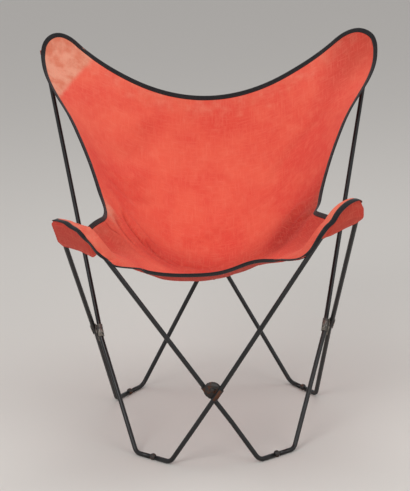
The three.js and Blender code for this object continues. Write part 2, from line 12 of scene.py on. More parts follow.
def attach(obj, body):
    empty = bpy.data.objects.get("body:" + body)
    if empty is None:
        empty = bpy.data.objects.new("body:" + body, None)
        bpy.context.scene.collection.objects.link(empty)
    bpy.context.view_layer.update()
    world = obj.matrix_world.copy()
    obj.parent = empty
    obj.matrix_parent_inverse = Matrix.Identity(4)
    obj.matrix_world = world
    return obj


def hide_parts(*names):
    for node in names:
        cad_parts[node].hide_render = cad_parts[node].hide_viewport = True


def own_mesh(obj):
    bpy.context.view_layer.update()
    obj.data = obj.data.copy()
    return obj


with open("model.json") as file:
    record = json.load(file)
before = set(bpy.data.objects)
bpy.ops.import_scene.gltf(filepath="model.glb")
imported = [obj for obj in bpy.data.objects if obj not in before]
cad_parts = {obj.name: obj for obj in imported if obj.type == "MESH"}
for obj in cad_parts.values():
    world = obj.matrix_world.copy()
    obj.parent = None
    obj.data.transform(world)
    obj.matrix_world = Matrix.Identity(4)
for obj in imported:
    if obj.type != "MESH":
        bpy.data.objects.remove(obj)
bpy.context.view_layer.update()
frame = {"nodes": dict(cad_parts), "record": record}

# Picture and camera, in pixels, metres and radians
PICTURE_WIDTH = 410
FOCAL_PIXELS = 1578.8
SENSOR_WIDTH = 36.0
CAMERA_PLACE = (0.0695, -3.6686, 1.4143)
CAMERA_YAW = -0.0227
CAMERA_PITCH = 0.2627
CAMERA_ROLL = -0.0326
VIEW_DEPTH = 50

# Floor and light: each lamp has a name, a place, what it points at, a size in metres and a power in watts
FLOOR_REACH = 40.0
WORLD_STRENGTH = 0.62
LAMPS = (
    ("key_light", (-1.6, -3.4, 3.0), (0, 0, 0.45), 2.2, 58.0),
    ("fill_light", (2.6, -2.8, 2.2), (0, 0, 0.45), 2.6, 30.0),
    ("top_light", (0.2, 0.6, 3.6), (0, 0.1, 0.4), 2.4, 26.0),
)

# Left ears of the frame, in metres, and the way in which the two rods leave the rear one
DEPTH_SHIFT = -0.017
FRONT_EAR = np.array((-0.298, -0.315, 0.567))
FRONT_EAR_BAR = 0.044
FRONT_EAR_TURN = math.radians(-44.5)
REAR_EAR = np.array((-0.375, 0.356, 0.861))
REAR_EAR_BAR = 0.045
REAR_EAR_TURN = math.radians(35.5)
REAR_SIDE_ROD = np.array((0.2310, -0.6211, -0.8550))
REAR_ROD = np.array((0.5311, -0.1775, -0.8550))
ROD_RADIUS = 0.0055

# In the values below, a ramp is given as its start and end and a bump as its centre and half width.
# Across the sling u runs from -1 to 1, and v runs from 0 at the front hem to 1 at the top of the back.

# Sling surface, the same form as the solids, in metres, u and v
HEM = np.array((0.0, -0.276, 0.442))
BELLY = np.array((0.0, 0.028, 0.352))
BACK_TOP = np.array((0.0, 0.342, 0.736))
NOTCH = np.array((-0.250, -0.015, 0.531))
CREASE = 0.61
CORNER_U = 0.2
FRONT_CORNER_V = 0.09
REAR_CORNER_V = 0.075
FRONT_TIP_OUT = 0.030
FRONT_TIP_LEAD = 0.010
FRONT_TIP_RISE = 0.084
REAR_TIP_OUT = 0.062
REAR_TIP_RISE = 0.092

# Metres of cloth for one unit of u and one of v, and the step in both from which normals are found
WIDTH_UNIT = 0.300
LENGTH_UNIT = 1.130
NORMAL_STEP = 0.004

# Guide lines between those places: shares of the way in x, y and z, or steps in metres
FRONT_SLOPE = (0, 0.38, 0.56)
BELLY_FRONT = (0, -0.085, 0.014)
BELLY_MIDDLE = (0, 0.012, 0)
BELLY_REAR = (0, 0.102, 0.030)
LOW_BACK = (0, 0.53, 0.26)
HIGH_BACK = (0, 0.80, 0.60)
FRONT_RIM = (0.65, 0.7, 0.6)
NOTCH_FRONT = (-0.008, -0.095, 0)
LOW_RIM = (0.2, 0.2, 0.22)
HIGH_RIM = (0.55, 0.4, 0.5)
REAR_RIM = (-0.012, -0.122, -0.054)

# Section of the bowl, its side folds and the spread of its front corners
BOWL_POWER = 2
FRONT_FLATNESS = 1.1
FRONT_FLAT_V = (0, 0.35)
BACK_FLATNESS = 0.25
BACK_FLAT_V = (0.35, 0.9)
FOLD_DEPTH = 0.004
FOLD_COUNT = 9
FOLD_SLANT = 2.2
FOLD_V = (0.47, 0.13)
FOLD_START = (0.3, 0.85)
FOLD_END = (0.85, 1)
FRONT_SPREAD = 0.052
FRONT_SPREAD_V = (0, 0.06)
FRONT_SPREAD_SIDE = (0.45, 0.85)
FRONT_SPREAD_BACK = 0.014
SPREAD_BACK_V = (0.085, 0.04)
SPREAD_BACK_SIDE = (0.6, 0.95)

# Seat of the cloth on the inner side of the ear bars
EAR_SEAT = 0.0102
TIP_LEAN = 0.35
FRONT_EAR_SLOPE = 0.62
REAR_EAR_SLOPE = 0.68
SEAT_ALONG = 0.030
SEAT_ABOVE = 0.025
SEAT_REACH = 0.120

# Ends of the hem and of the rounded ear along half the border, as shares of it
HEM_END = 0.25
EAR_END = 0.55

# Soft waves left by use: heights in metres, and waves by their turns over u and v and their start
RAY_HEIGHT = 0.0014
RAY_COUNT = 34
RAY_CENTRE = 0.45
RAY_FOCUS = 1.18
RAY_TWIST = 1.5
RAY_V = (0.42, 0.11)
RAY_SIDE = (0.35, 0.70)
SWELL_HEIGHT = 0.0020
SWELL_WAVES = ((7.1, 3.3, 0.0), (-2.1, 9.7, 0.6))
RIPPLE_HEIGHT = 0.0007
RIPPLE_WAVES = ((19, 8), (-5, 27))
RIPPLE_DRIFT = 2
RIPPLE_DRIFT_V = 6
CALM_EDGE = (0.90, 0.985)
CALM_HEM = (0.02, 0.08)
CALM_TOP = (0.93, 0.985)

# Soft folds as start and end (u, v), half width and height in metres
FOLD_BOW = 0.10
FOLD_RISE = (-0.10, 0.30)
FOLD_FADE = (0.65, 1.15)
SOFT_FOLDS = (
    ((-0.99, 0.349), (-0.82, 0.366), 0.0040, -0.0030),
    ((-0.80, 0.545), (-0.58, 0.465), 0.0075, -0.0058),
    ((-0.70, 0.560), (-0.52, 0.500), 0.0110, 0.0048),
    ((-0.90, 0.470), (-0.70, 0.400), 0.0090, -0.0040),
    ((-0.62, 0.500), (-0.36, 0.440), 0.0080, -0.0040),
    ((-0.84, 0.640), (-0.40, 0.740), 0.0170, -0.0042),
    ((-0.80, 0.700), (-0.46, 0.800), 0.0140, 0.0044),
    ((-0.72, 0.780), (-0.34, 0.930), 0.0220, -0.0036),
    ((-0.60, 0.880), (-0.30, 0.960), 0.0160, 0.0032),
    ((-0.30, 0.600), (0.10, 0.720), 0.0240, 0.0036),
    ((0.95, 0.420), (0.62, 0.470), 0.0080, -0.0042),
    ((0.92, 0.500), (0.66, 0.560), 0.0100, 0.0036),
    ((0.80, 0.860), (0.40, 0.760), 0.0200, -0.0030),
    ((0.70, 0.930), (0.36, 0.860), 0.0160, 0.0032),
    ((-0.45, 0.470), (0.15, 0.505), 0.0120, -0.0036),
    ((-0.20, 0.450), (0.50, 0.470), 0.0100, 0.0028),
)

# Hem, walls and left rim as use has moved them up or down, in metres
HEM_KINK = 0.024
HEM_KINK_X = (0.105, 0.062)
HEM_KINK_V = (0.05, 0.40)
WALL_LIFT = 0.018
WALL_V = (0.12, 0.09)
WALL_START = (0.35, 0.65)
WALL_END = (0.88, 1.0)
HEM_TURN = 0.008
HEM_TURN_START = (0.0, 0.010)
HEM_TURN_END = (0.03, 0.14)
HEM_TURN_LOSS = 0.5
HEM_TURN_SIDE = (0.2, 0.6)
RIGHT_SWELL = 0.016
RIGHT_SWELL_V = (0.065, 0.035)
RIGHT_SWELL_SIDE = (0.75, 0.13)
SEAT_SWELL = 0.010
SEAT_SWELL_V = (0.22, 0.09)
SEAT_SWELL_U = (0.34, 0.14)
RIM_SAG = 0.022
RIM_SAG_V = (0.235, 0.055)
RIM_SAG_SIDE = (0.7, 0.95)

# Ears as use has moved them: shares of the height above the bar, and slips along the rear bars in metres
EAR_CLEAR = 0.006
EAR_SPREAD = 0.09
LEFT_EAR_SLIP = 0.006
RIGHT_EAR_SLIP = 0.013
REAR_TIP_V = (0.84, 0.97)
REAR_TIP_SIDE = (0.5, 0.9)
RIGHT_EAR_SINK = 0.25
RIGHT_EAR_RISE = 0.42
LEFT_EAR_SINK = 0.62
LEFT_TIP_SINK = 0.25
LEFT_TIP_ALONG = (0, 0.03)
FRONT_TIP_ALONG = (0.07, 0.12)
FRONT_TIP_V = (0.15, 0.22)

# Rims of the back stand outwards under their tape: how far in x, over which width, how steeply, where in v
LEFT_FLARE = {"out": -0.0060, "width": 0.016, "power": 2, "start": (0.42, 0.52), "end": (0.70, 0.84)}
RIGHT_FLARE = {"out": 0.0145, "width": 0.060, "power": 1.5, "start": (0.345, 0.455), "end": (0.84, 0.97)}

# Bleached places of the canvas, with their strengths
LEFT_EAR_BLEACH = 0.95
LEFT_EAR_X = -0.315
LEFT_EAR_Z = 0.80
LEFT_EAR_SLANT = 0.9
LEFT_EAR_BLUR = (0.0, 0.035)
LEFT_EAR_V = (0.7, 0.8)
NOTCH_BLEACH = 0.75
NOTCH_BLEACH_V = (0.455, 0.055)
NOTCH_BLEACH_SIDE = (0.78, 0.98)
CORNER_BLEACH = 0.55
CORNER_BLEACH_V = (0.05, 0.06)
CORNER_BLEACH_SIDE = (0.45, 0.75)
TOP_BLEACH = 0.35
TOP_BLEACH_V = (0.9, 0.99)
LEFT_RIM_BLEACH = 0.5
LEFT_RIM_V = (0.29, 0.055)
LEFT_RIM_U = (0.80, 0.95)

# Soiled places of the canvas and places of painted shade (the right wall, the fold valleys and the
# underside), with their strengths
LAP_SOIL = 0.60
LAP_SOIL_V = (0.46, 0.09)
LAP_SOIL_SIDE = (0.5, 0.9)
WALL_SOIL = 0.6
WALL_SOIL_V = (0.28, 0.12)
WALL_SOIL_START = (0.55, 0.85)
WALL_SOIL_END = (0.95, 1.0)
# Painted shade: the right wall of the seat is darkened as if it lay in shade
RIGHT_WALL_SHADE = 0.95
RIGHT_WALL_V = (0.46, 0.11)
RIGHT_WALL_START = (0.45, 0.75)
RIGHT_WALL_END = (0.97, 1.0)
RIGHT_EAR_SOIL = 0.6
RIGHT_EAR_V = (0.84, 0.93)
RIGHT_EAR_U = (0.62, 0.86)
# Painted shade along the valleys of the soft folds, stronger in the narrow ones
NARROW_FOLD = 0.010
NARROW_FOLD_SHADE = 0.55
WIDE_FOLD_SHADE = 0.12
FOLD_SHADE_WIDTH = 0.8
# The underside of every sheet is less bleached and darkened with painted shade
UNDERSIDE_FADE_AND_SHADE = {"fade": -0.3, "soil": 0.75}

# Cloth and tape: thicknesses and widths in metres, and steps of their meshes
CANVAS = 0.0012
CANVAS_EDGE = 0.0014
TAPE_WIDTH = 0.012
TAPE_HALF = 0.00135
TAPE_LEVELS = 25
TAPE_STEPS = 420
TAPE_SMOOTHING = 200
TAPE_RIPPLE = 0.05
TAPE_WAVES = (127.1, 67)
LIP_SAMPLES = 17
PANEL_COLUMNS = 150
SEAT_ROWS = 150
BACK_ROWS = 110

# Section of the tape in shares of its width and of half its thickness, round the fold and back inside it
TAPE_PROFILE = (
    (1.0, 0.50),
    (0.985, 0.92),
    (0.70, 1.0),
    (0.35, 1.02),
    (0.12, 0.95),
    (0.02, 0.55),
    (0.0, 0.0),
    (0.02, -0.55),
    (0.12, -0.95),
    (0.35, -1.02),
    (0.70, -1.0),
    (0.985, -0.92),
    (1.0, -0.50),
    (0.14, -0.48),
    (0.14, 0.48),
)

# Pockets: play, laps and turns in metres, and shares where a rod leans or a flap tapers
POCKET_COLUMNS = 48
POCKET_ROWS = 36
FLAP_PLAY = 0.0022
FLAP_TURN = 0.0034
FLAP_WRAP = 0.8
FRONT_FLAP_MARGIN = 0.017
REAR_FLAP_MARGIN = 0.0078
REAR_FLAP_TIP = 0.034
REAR_FLAP_TAPER = 0.85
REAR_FLAP_DROP = 0.062
REAR_LAP = 0.003
REAR_TUCK = 0.05
REAR_TUCK_HEIGHT = 0.012
POCKET_WALL = 0.009
POCKET_SEAM = 0.85
POCKET_UNDER = 0.003
POCKET_START = -0.53
SIDE_ROD_LEAN = 0.64
FRONT_ROD_LEAN = 0.511
SIDE_ROD_SPREAD = 0.434
FRONT_TUCK = 0.005
FRONT_TUCK_ALONG = (0.040, 0.056)

# Mouths of the front pockets: the end of the sewn border, the turn of its corner, and the open edge by its
# places along the bar and above it
LEFT_MOUTH = {
    "end": -0.235,
    "turn": (-0.004, -0.008),
    "along": (-0.074, -0.062, 0.0, 0.045),
    "above": (-0.046, -0.060, -0.059, -0.066),
}
RIGHT_MOUTH = {
    "end": -0.25,
    "turn": (-0.002, -0.006),
    "along": (-0.060, -0.038, 0.0, 0.058),
    "above": (-0.002, -0.015, -0.021, -0.032),
}

# How far the edge of each front ear slips along the bar and upwards as it turns over, at even border steps
LIP_START = -0.55
LIP_END = -0.13
LEFT_SLIP = np.array((
    (0.0, 0.0),
    (-0.006, -0.002),
    (-0.008, -0.003),
    (-0.010, -0.005),
    (-0.014, -0.008),
    (-0.017, -0.010),
    (-0.010, -0.006),
    (0.018, 0.012),
    (0.0, 0.0),
))
RIGHT_SLIP = np.array((
    (0.0, 0.0),
    (-0.004, -0.002),
    (-0.005, -0.005),
    (-0.006, -0.007),
    (-0.006, -0.005),
    (-0.002, -0.004),
    (0.004, -0.003),
    (0.012, 0.0),
    (0.0, 0.0),
))

# Form of the turned edges, along the border and in metres
LIP_LOW = (-0.22, -0.185)
LIP_BULGE = 0.010
LIP_BULGE_START = (-0.30, -0.235)
LIP_BULGE_END = (-0.20, -0.15)
LIP_TURN_ON = 0.05
LEFT_LIP_BACK = -0.185
RIGHT_LIP_BACK = -0.235
LIP_TURN = 0.010
LIP_LIFT = 0.0040
LIP_LIFT_REACH = (0, 0.5)
LIP_FIRST = 0.015
LIP_LAST = 0.006
LIP_REACH = 0.97
LIP_ROWS = 121
LIP_COLUMNS = 25
LIP_TIP = (-0.36, -0.24)
LIP_TIP_FADE = 0.45
LIP_TIP_SOIL = 0.1

# Stitching, in metres, with lifts as shares of the thread and seams as shares of the tape
STITCH_SPACING = 0.0042
STITCH_LENGTH = 0.0031
STITCH_SEGMENTS = 6
STITCH_RINGS = 5
THREAD = 0.00042
TAPE_SEAM = 0.80
TAPE_SEAM_END = 0.998
TAPE_THREAD_LIFT = 0.35
POCKET_THREAD_LIFT = 0.3
POCKET_SEAM_ROWS = slice(-5, -3)

# Flat cuts of the cloth pieces, width and length in metres, and their areas
LEFT_POCKET_CUT = (0.135, 0.075)
RIGHT_POCKET_CUT = (0.118, 0.052)
REAR_POCKET_CUT = (0.112, 0.098)

ACROSS = np.array((1.0, 0.0, 0.0))
UP = np.array((0.0, 0.0, 1.0))


# Ramps, bumps and vectors


def smooth(x, low, high):
    t = np.clip((np.asarray(x, float) - low) / (high - low), 0, 1)
    return t * t * (3 - 2 * t)


def band(x, start, end):
    """Rises over the first ramp and falls over the second."""
    return smooth(x, *start) * (1 - smooth(x, *end))


def bump(x, centre, width):
    return np.exp(-(((np.asarray(x) - centre) / width) ** 2))


def mix(a, b, share):
    return a * (1 - share) + b * share


def dot(a, b):
    return np.sum(a * b, axis=-1)


def unit(a):
    return a / np.maximum(np.linalg.norm(a, axis=-1, keepdims=True), 1e-12)


def plan(angle):
    return np.array((math.cos(angle), math.sin(angle), 0.0))


def mirrored(p):
    return np.asarray(p) * np.array((-1.0, 1.0, 1.0))


FRONT_BAR = plan(FRONT_EAR_TURN)
REAR_BAR = plan(REAR_EAR_TURN)
FRONT_OUT = np.array((FRONT_BAR[1], -FRONT_BAR[0], 0.0))
REAR_OUT = np.array((-REAR_BAR[1], REAR_BAR[0], 0.0))


# Sling surface


def guide_points():
    """Control points of the middle line of the sling and of its left rim, front to back."""
    lead = FRONT_OUT * FRONT_TIP_OUT - FRONT_BAR * FRONT_TIP_LEAD
    front_corner = FRONT_EAR + lead + UP * FRONT_TIP_RISE
    rear_corner = REAR_EAR + REAR_OUT * REAR_TIP_OUT + UP * REAR_TIP_RISE
    middle = [
        HEM,
        mix(HEM, BELLY, np.array(FRONT_SLOPE)),
        BELLY + BELLY_FRONT,
        BELLY + BELLY_MIDDLE,
        BELLY + BELLY_REAR,
        mix(BELLY, BACK_TOP, np.array(LOW_BACK)),
        mix(BELLY, BACK_TOP, np.array(HIGH_BACK)),
        BACK_TOP,
    ]
    rim = [
        front_corner,
        mix(NOTCH, FRONT_EAR, np.array(FRONT_RIM)),
        NOTCH + NOTCH_FRONT,
        NOTCH,
        mix(NOTCH, REAR_EAR, np.array(LOW_RIM)),
        mix(NOTCH, REAR_EAR, np.array(HIGH_RIM)),
        REAR_EAR + REAR_RIM,
        rear_corner,
    ]
    return np.array(middle), np.array(rim)


MIDDLE, RIM = guide_points()


def root_gap(a, b):
    return np.linalg.norm(a - b, axis=-1, keepdims=True) ** 0.5


def spline(points, t):
    """Centripetal Catmull-Rom curve through the points, at the parameters t from 0 to 1."""
    first = 2 * points[0] - points[1]
    last = 2 * points[-1] - points[-2]
    knots = np.vstack((first, points, last))
    place = np.clip(np.asarray(t, float), 0, 1) * (len(points) - 1)
    index = np.minimum(place.astype(int), len(points) - 2)
    w = (place - index)[..., None]
    p0, p1, p2, p3 = (knots[index + k] for k in range(4))
    d0, d1, d2 = root_gap(p0, p1), root_gap(p1, p2), root_gap(p2, p3)
    m1 = ((p1 - p0) / d0 - (p2 - p0) / (d0 + d1) + (p2 - p1) / d1) * d1
    m2 = ((p2 - p1) / d1 - (p3 - p1) / (d1 + d2) + (p3 - p2) / d2) * d1
    c2 = -3 * p1 + 3 * p2 - 2 * m1 - m2
    c3 = 2 * p1 - 2 * p2 + m1 + m2
    return p1 + m1 * w + c2 * w**2 + c3 * w**3


def seat_on_ear(p, ear, bar, out, slope):
    """Draws the cloth towards the inner side of an ear bar."""
    offset = p - ear
    along, depth, above = dot(offset, bar), dot(offset, out), offset[..., 2]
    seat = -EAR_SEAT + slope * np.minimum(above, 0) + TIP_LEAN * np.maximum(above, 0)
    beside = np.maximum(np.abs(along) - SEAT_ALONG, 0)
    beyond = np.maximum(np.abs(above) - SEAT_ABOVE, 0)
    weight = 1 - smooth(np.hypot(beside, beyond), 0, SEAT_REACH)
    return p + out * ((seat - depth) * weight)[..., None]


def cloth(u, v):
    """Middle surface of the sling in its even form."""
    u, v = np.broadcast_arrays(np.asarray(u, float), np.asarray(v, float))
    side = np.abs(u)
    centre, edge = spline(MIDDLE, v), spline(RIM, v)
    power = BOWL_POWER + FRONT_FLATNESS * (1 - smooth(v, *FRONT_FLAT_V))
    rise = side ** (power + BACK_FLATNESS * (1 - smooth(v, *BACK_FLAT_V)))
    depth, height = (mix(centre[..., k], edge[..., k], rise) for k in (1, 2))
    folds = band(side, FOLD_START, FOLD_END) * bump(v, *FOLD_V)
    height = height + FOLD_DEPTH * folds * np.sin(2 * np.pi * (v * FOLD_COUNT - side * FOLD_SLANT))
    p = np.stack((edge[..., 0] * side, depth, height), -1)
    lead = (1 - smooth(v, *FRONT_SPREAD_V)) * smooth(side, *FRONT_SPREAD_SIDE)
    trail = bump(v, *SPREAD_BACK_V) * smooth(side, *SPREAD_BACK_SIDE)
    p = p + FRONT_BAR * (FRONT_SPREAD * lead - FRONT_SPREAD_BACK * trail)[..., None]
    p = seat_on_ear(p, FRONT_EAR, FRONT_BAR, FRONT_OUT, FRONT_EAR_SLOPE)
    p = seat_on_ear(p, REAR_EAR, REAR_BAR, REAR_OUT, REAR_EAR_SLOPE)
    return np.where((u < 0)[..., None], p, mirrored(p))


def cloth_normal(u, v):
    step = NORMAL_STEP
    across = cloth(np.minimum(u + step, 1), v) - cloth(np.maximum(u - step, -1), v)
    along = cloth(u, np.minimum(v + step, 1)) - cloth(u, np.maximum(v - step, 0))
    return unit(np.cross(across, along))


def half_width(v, inset_u, inset_v):
    """Half width of the cloth at v, with its rounded ears."""
    front = (FRONT_CORNER_V - v) / (FRONT_CORNER_V - inset_v)
    rear = (v - 1 + REAR_CORNER_V) / (REAR_CORNER_V - inset_v)
    share = np.clip(np.maximum(front, rear), 0, 1)
    return 1 - CORNER_U + (CORNER_U - inset_u) * np.sqrt(1 - share * share)


def border_spot(t, from_front, inset):
    """Place (u, v) on the border for t from -1 to 1, moved inwards by a distance."""
    inset_u, inset_v = inset / WIDTH_UNIT, inset / LENGTH_UNIT
    depth = FRONT_CORNER_V if from_front else REAR_CORNER_V
    run = (CREASE if from_front else 1 - CREASE) - depth
    s = np.abs(t)
    angle = np.pi / 2 * np.clip((s - HEM_END) / (EAR_END - HEM_END), 0, 1)
    flat = s < HEM_END
    round_u = 1 - CORNER_U + (CORNER_U - inset_u) * np.sin(angle)
    u = np.where(flat, (1 - CORNER_U) * s / HEM_END, round_u)
    v = np.where(flat, inset_v, depth - (depth - inset_v) * np.cos(angle))
    v = np.where(s > EAR_END, depth + run * (s - EAR_END) / (1 - EAR_END), v)
    return np.sign(t) * u, v if from_front else 1 - v


# Slack and creases that use has left in the canvas


def soft_fold(u, v, start, end, width, height):
    """A soft fold along a bowed line of the flat cloth, fading at both ends."""
    scale = np.array((WIDTH_UNIT, LENGTH_UNIT))
    origin, run = np.array(start) * scale, (np.array(end) - np.array(start)) * scale
    offset = np.stack((np.asarray(u) * scale[0], np.asarray(v) * scale[1]), -1) - origin
    length = np.linalg.norm(run)
    along = dot(offset, run / length) / length
    away = offset[..., 0] * run[1] / length - offset[..., 1] * run[0] / length
    bend = away - FOLD_BOW * length * np.sin(np.pi * np.clip(along, 0, 1))
    return height * bump(bend, 0.0, width) * band(along, FOLD_RISE, FOLD_FADE)


def wave(u, v, across, along, start):
    return np.sin(across * u + along * v + start)


def slack(u, v):
    """Height of the soft waves and folds in the canvas, in metres along its normal."""
    side = np.abs(u)
    inside = 1 - smooth(side, *CALM_EDGE)
    ray_place = bump(v, *RAY_V) * smooth(side, *RAY_SIDE)
    ray_turn = RAY_COUNT * (v - RAY_CENTRE) / (RAY_FOCUS - side) + RAY_TWIST * u
    rays = RAY_HEIGHT * ray_place * np.sin(ray_turn)
    swell = SWELL_HEIGHT * wave(u, v, *SWELL_WAVES[0]) * wave(u, v, *SWELL_WAVES[1])
    drift = RIPPLE_DRIFT * np.sin(RIPPLE_DRIFT_V * v)
    ripple = RIPPLE_HEIGHT * wave(u, v, *RIPPLE_WAVES[0], drift) * wave(u, v, *RIPPLE_WAVES[1], 0.0)
    folds = sum(soft_fold(u, v, *line) for line in SOFT_FOLDS)
    return (rays + swell + ripple + folds) * inside * band(v, CALM_HEM, CALM_TOP)


def hem_rise(x, u, v):
    """How far use has lifted the hem, the walls of the seat and the left rim, in metres."""
    side, left = np.abs(u), u < 0
    kink = HEM_KINK * bump(x, *HEM_KINK_X) * (1 - smooth(v, *HEM_KINK_V))
    wall = WALL_LIFT * bump(v, *WALL_V) * band(side, WALL_START, WALL_END)
    turn_share = 1 - HEM_TURN_LOSS * smooth(side, *HEM_TURN_SIDE)
    turn = HEM_TURN * band(v, HEM_TURN_START, HEM_TURN_END) * turn_share
    right_swell = RIGHT_SWELL * ~left * bump(v, *RIGHT_SWELL_V) * bump(side, *RIGHT_SWELL_SIDE)
    seat_swell = SEAT_SWELL * bump(v, *SEAT_SWELL_V) * bump(u, *SEAT_SWELL_U)
    sag = RIM_SAG * left * bump(v, *RIM_SAG_V) * smooth(side, *RIM_SAG_SIDE)
    return kink + wall - turn + right_swell + seat_swell - sag


def above_rear_bar(p):
    return np.maximum(p[..., 2] - REAR_EAR[2] - EAR_CLEAR, 0)


def rear_ear_shift(p, u, v):
    """How far the rear ears have spread along their bars, and the right one sunk."""
    left = u < 0
    tip = smooth(v, *REAR_TIP_V) * smooth(np.abs(u), *REAR_TIP_SIDE)
    bar = np.where(left[..., None], REAR_BAR, mirrored(REAR_BAR))
    ear = np.where(left[..., None], REAR_EAR, mirrored(REAR_EAR))
    spread = EAR_SPREAD * dot(p - ear, bar) - np.where(left, LEFT_EAR_SLIP, RIGHT_EAR_SLIP)
    sink = RIGHT_EAR_SINK * ~left * above_rear_bar(p) * tip
    return bar * (tip * spread)[..., None] - UP * sink[..., None]


def front_ear_rise(p, u, v):
    """How far the slack left front ear has sunk and the right one stands up, in metres."""
    left = u < 0
    offset = np.where(left[..., None], p, mirrored(p)) - FRONT_EAR
    along = dot(offset, FRONT_BAR)
    near = (1 - smooth(np.abs(along), *FRONT_TIP_ALONG)) * (1 - smooth(v, *FRONT_TIP_V))
    left_share = -LEFT_EAR_SINK - LEFT_TIP_SINK * smooth(along, *LEFT_TIP_ALONG)
    return np.maximum(offset[..., 2] - EAR_CLEAR, 0) * near * np.where(left, left_share, RIGHT_EAR_RISE)


def rim_flare(inside, v, out, width, power, start, end):
    """How far a rim of the back stands out in x, from its distance inside the border."""
    return out * np.clip(1 - inside / width, 0, 1) ** power * band(v, start, end)


def settle(p, u, v):
    """How far use has moved the canvas out of its even form: hem, ears and rims."""
    u = np.asarray(u)
    rise = hem_rise(p[..., 0], u, v) + front_ear_rise(p, u, v)
    inside = (half_width(v, 0.0, 0.0) - np.abs(u)) * WIDTH_UNIT
    flare = np.where(u < 0, rim_flare(inside, v, **LEFT_FLARE), rim_flare(inside, v, **RIGHT_FLARE))
    return rear_ear_shift(p, u, v) + UP * rise[..., None] + ACROSS * flare[..., None]


def canvas_point(u, v):
    p = cloth(u, v)
    return p + cloth_normal(u, v) * slack(u, v)[..., None] + settle(p, u, v)


# Wear of the canvas


def fade(points, u, v):
    """How sun-bleached the canvas is, from 0 to 1."""
    side = np.abs(u)
    outside = LEFT_EAR_SLANT * (points[..., 2] - LEFT_EAR_Z) - (points[..., 0] - LEFT_EAR_X)
    left_ear = LEFT_EAR_BLEACH * smooth(outside, *LEFT_EAR_BLUR) * smooth(v, *LEFT_EAR_V) * (u < 0)
    notch = NOTCH_BLEACH * bump(v, *NOTCH_BLEACH_V) * smooth(side, *NOTCH_BLEACH_SIDE)
    corner = CORNER_BLEACH * bump(v, *CORNER_BLEACH_V) * smooth(side, *CORNER_BLEACH_SIDE)
    top = TOP_BLEACH * smooth(v, *TOP_BLEACH_V)
    left_rim = LEFT_RIM_BLEACH * bump(v, *LEFT_RIM_V) * smooth(-u, *LEFT_RIM_U)
    return np.clip(left_ear + notch + corner + top + left_rim, 0, 1)


def soil(u, v):
    """How soiled the canvas is, with painted shade on the right wall and in the fold valleys, from 0 to 1.
    """
    side = np.abs(u)
    lap = LAP_SOIL * bump(v, *LAP_SOIL_V) * (1 - smooth(side, *LAP_SOIL_SIDE))
    wall = WALL_SOIL * bump(v, *WALL_SOIL_V) * band(side, WALL_SOIL_START, WALL_SOIL_END)
    # Painted shade on the right wall of the seat
    right_wall_shade = RIGHT_WALL_SHADE * bump(v, *RIGHT_WALL_V) * band(u, RIGHT_WALL_START, RIGHT_WALL_END)
    right_ear = RIGHT_EAR_SOIL * smooth(v, *RIGHT_EAR_V) * smooth(u, *RIGHT_EAR_U)
    # Painted shade in the valleys of the soft folds
    valley_shade = 0
    for start, end, width, height in SOFT_FOLDS:
        if height < 0:
            strength = NARROW_FOLD_SHADE if width < NARROW_FOLD else WIDE_FOLD_SHADE
            valley_shade = valley_shade + soft_fold(u, v, start, end, FOLD_SHADE_WIDTH * width, strength)
    return np.clip(lap + wall + right_wall_shade + right_ear + valley_shade, 0, 1)


# Mesh making


def link(mesh, name):
    piece = bpy.data.objects.new(name, mesh)
    bpy.context.collection.objects.link(piece)
    return piece


def shift(points):
    return np.asarray(points).reshape(-1, 3) + np.array((0, DEPTH_SHIFT, 0))


def grid_faces(rows, columns, wrap=False):
    i, j = np.meshgrid(np.arange(rows - 1), np.arange(columns if wrap else columns - 1), indexing="ij")
    k = (j + 1) % columns
    corners = (i * columns + j, i * columns + k, (i + 1) * columns + k, (i + 1) * columns + j)
    return np.stack(corners, -1).reshape(-1, 4)


def grid_normals(points):
    return unit(np.cross(np.gradient(points, axis=1), np.gradient(points, axis=0)))


def arc_coords(points):
    """Cloth coordinates of a grid: lengths along its rows, from the middle column, and down its columns."""
    across = np.linalg.norm(np.diff(points, axis=1), axis=-1)
    s = np.concatenate((np.zeros((len(points), 1)), np.cumsum(across, axis=1)), 1)
    s -= s[:, s.shape[1] // 2][:, None]
    down = np.linalg.norm(np.diff(points, axis=0), axis=-1)
    t = np.concatenate((np.zeros((1, points.shape[1])), np.cumsum(down, axis=0)), 0)
    return np.stack((s, t), -1)


def lay_coords(mesh, coords):
    """Cloth coordinates in metres as the UV map of a mesh, the same on both faces of a sheet."""
    layer = mesh.uv_layers.new(name="Cloth")
    flat = coords.reshape(-1, 2).astype(np.float32)
    corner = np.zeros(len(mesh.loops), np.int32)
    mesh.loops.foreach_get("vertex_index", corner)
    layer.data.foreach_set("uv", flat[corner % len(flat)].ravel())


def cloth_sheet(name, points, normals, coords, marks):
    """Closed thin sheet of canvas over a grid of points, with its wear and painted shade as attributes."""
    rows, columns = points.shape[:2]
    count = rows * columns
    upper = shift(points + normals * CANVAS / 2)
    lower = shift(points - normals * CANVAS / 2)
    faces = grid_faces(rows, columns)
    index = np.arange(count).reshape(rows, columns)
    ring = np.concatenate((index[0, :], index[1:, -1], index[-1, -2::-1], index[-2:0:-1, 0]))
    following = np.roll(ring, -1)
    rim = np.stack((ring, ring + count, following + count, following), -1)
    every = np.concatenate((faces, faces[:, ::-1] + count, rim))
    mesh = bpy.data.meshes.new(name)
    mesh.from_pydata(np.concatenate((upper, lower)).tolist(), [], every.tolist())
    lay_coords(mesh, coords)
    for key, values in marks.items():
        attribute = mesh.attributes.new(key, "FLOAT", "POINT")
        # The underside gets less bleach and extra darkening, which is painted shade
        under = np.clip(values + UNDERSIDE_FADE_AND_SHADE[key], 0, 1)
        attribute.data.foreach_set("value", np.concatenate((values, under), axis=None).astype(np.float32))
    mesh.shade_smooth()
    outward = normals.reshape(-1, 3)
    mesh.normals_split_custom_set_from_vertices(np.concatenate((outward, -outward)).tolist())
    return link(mesh, name)


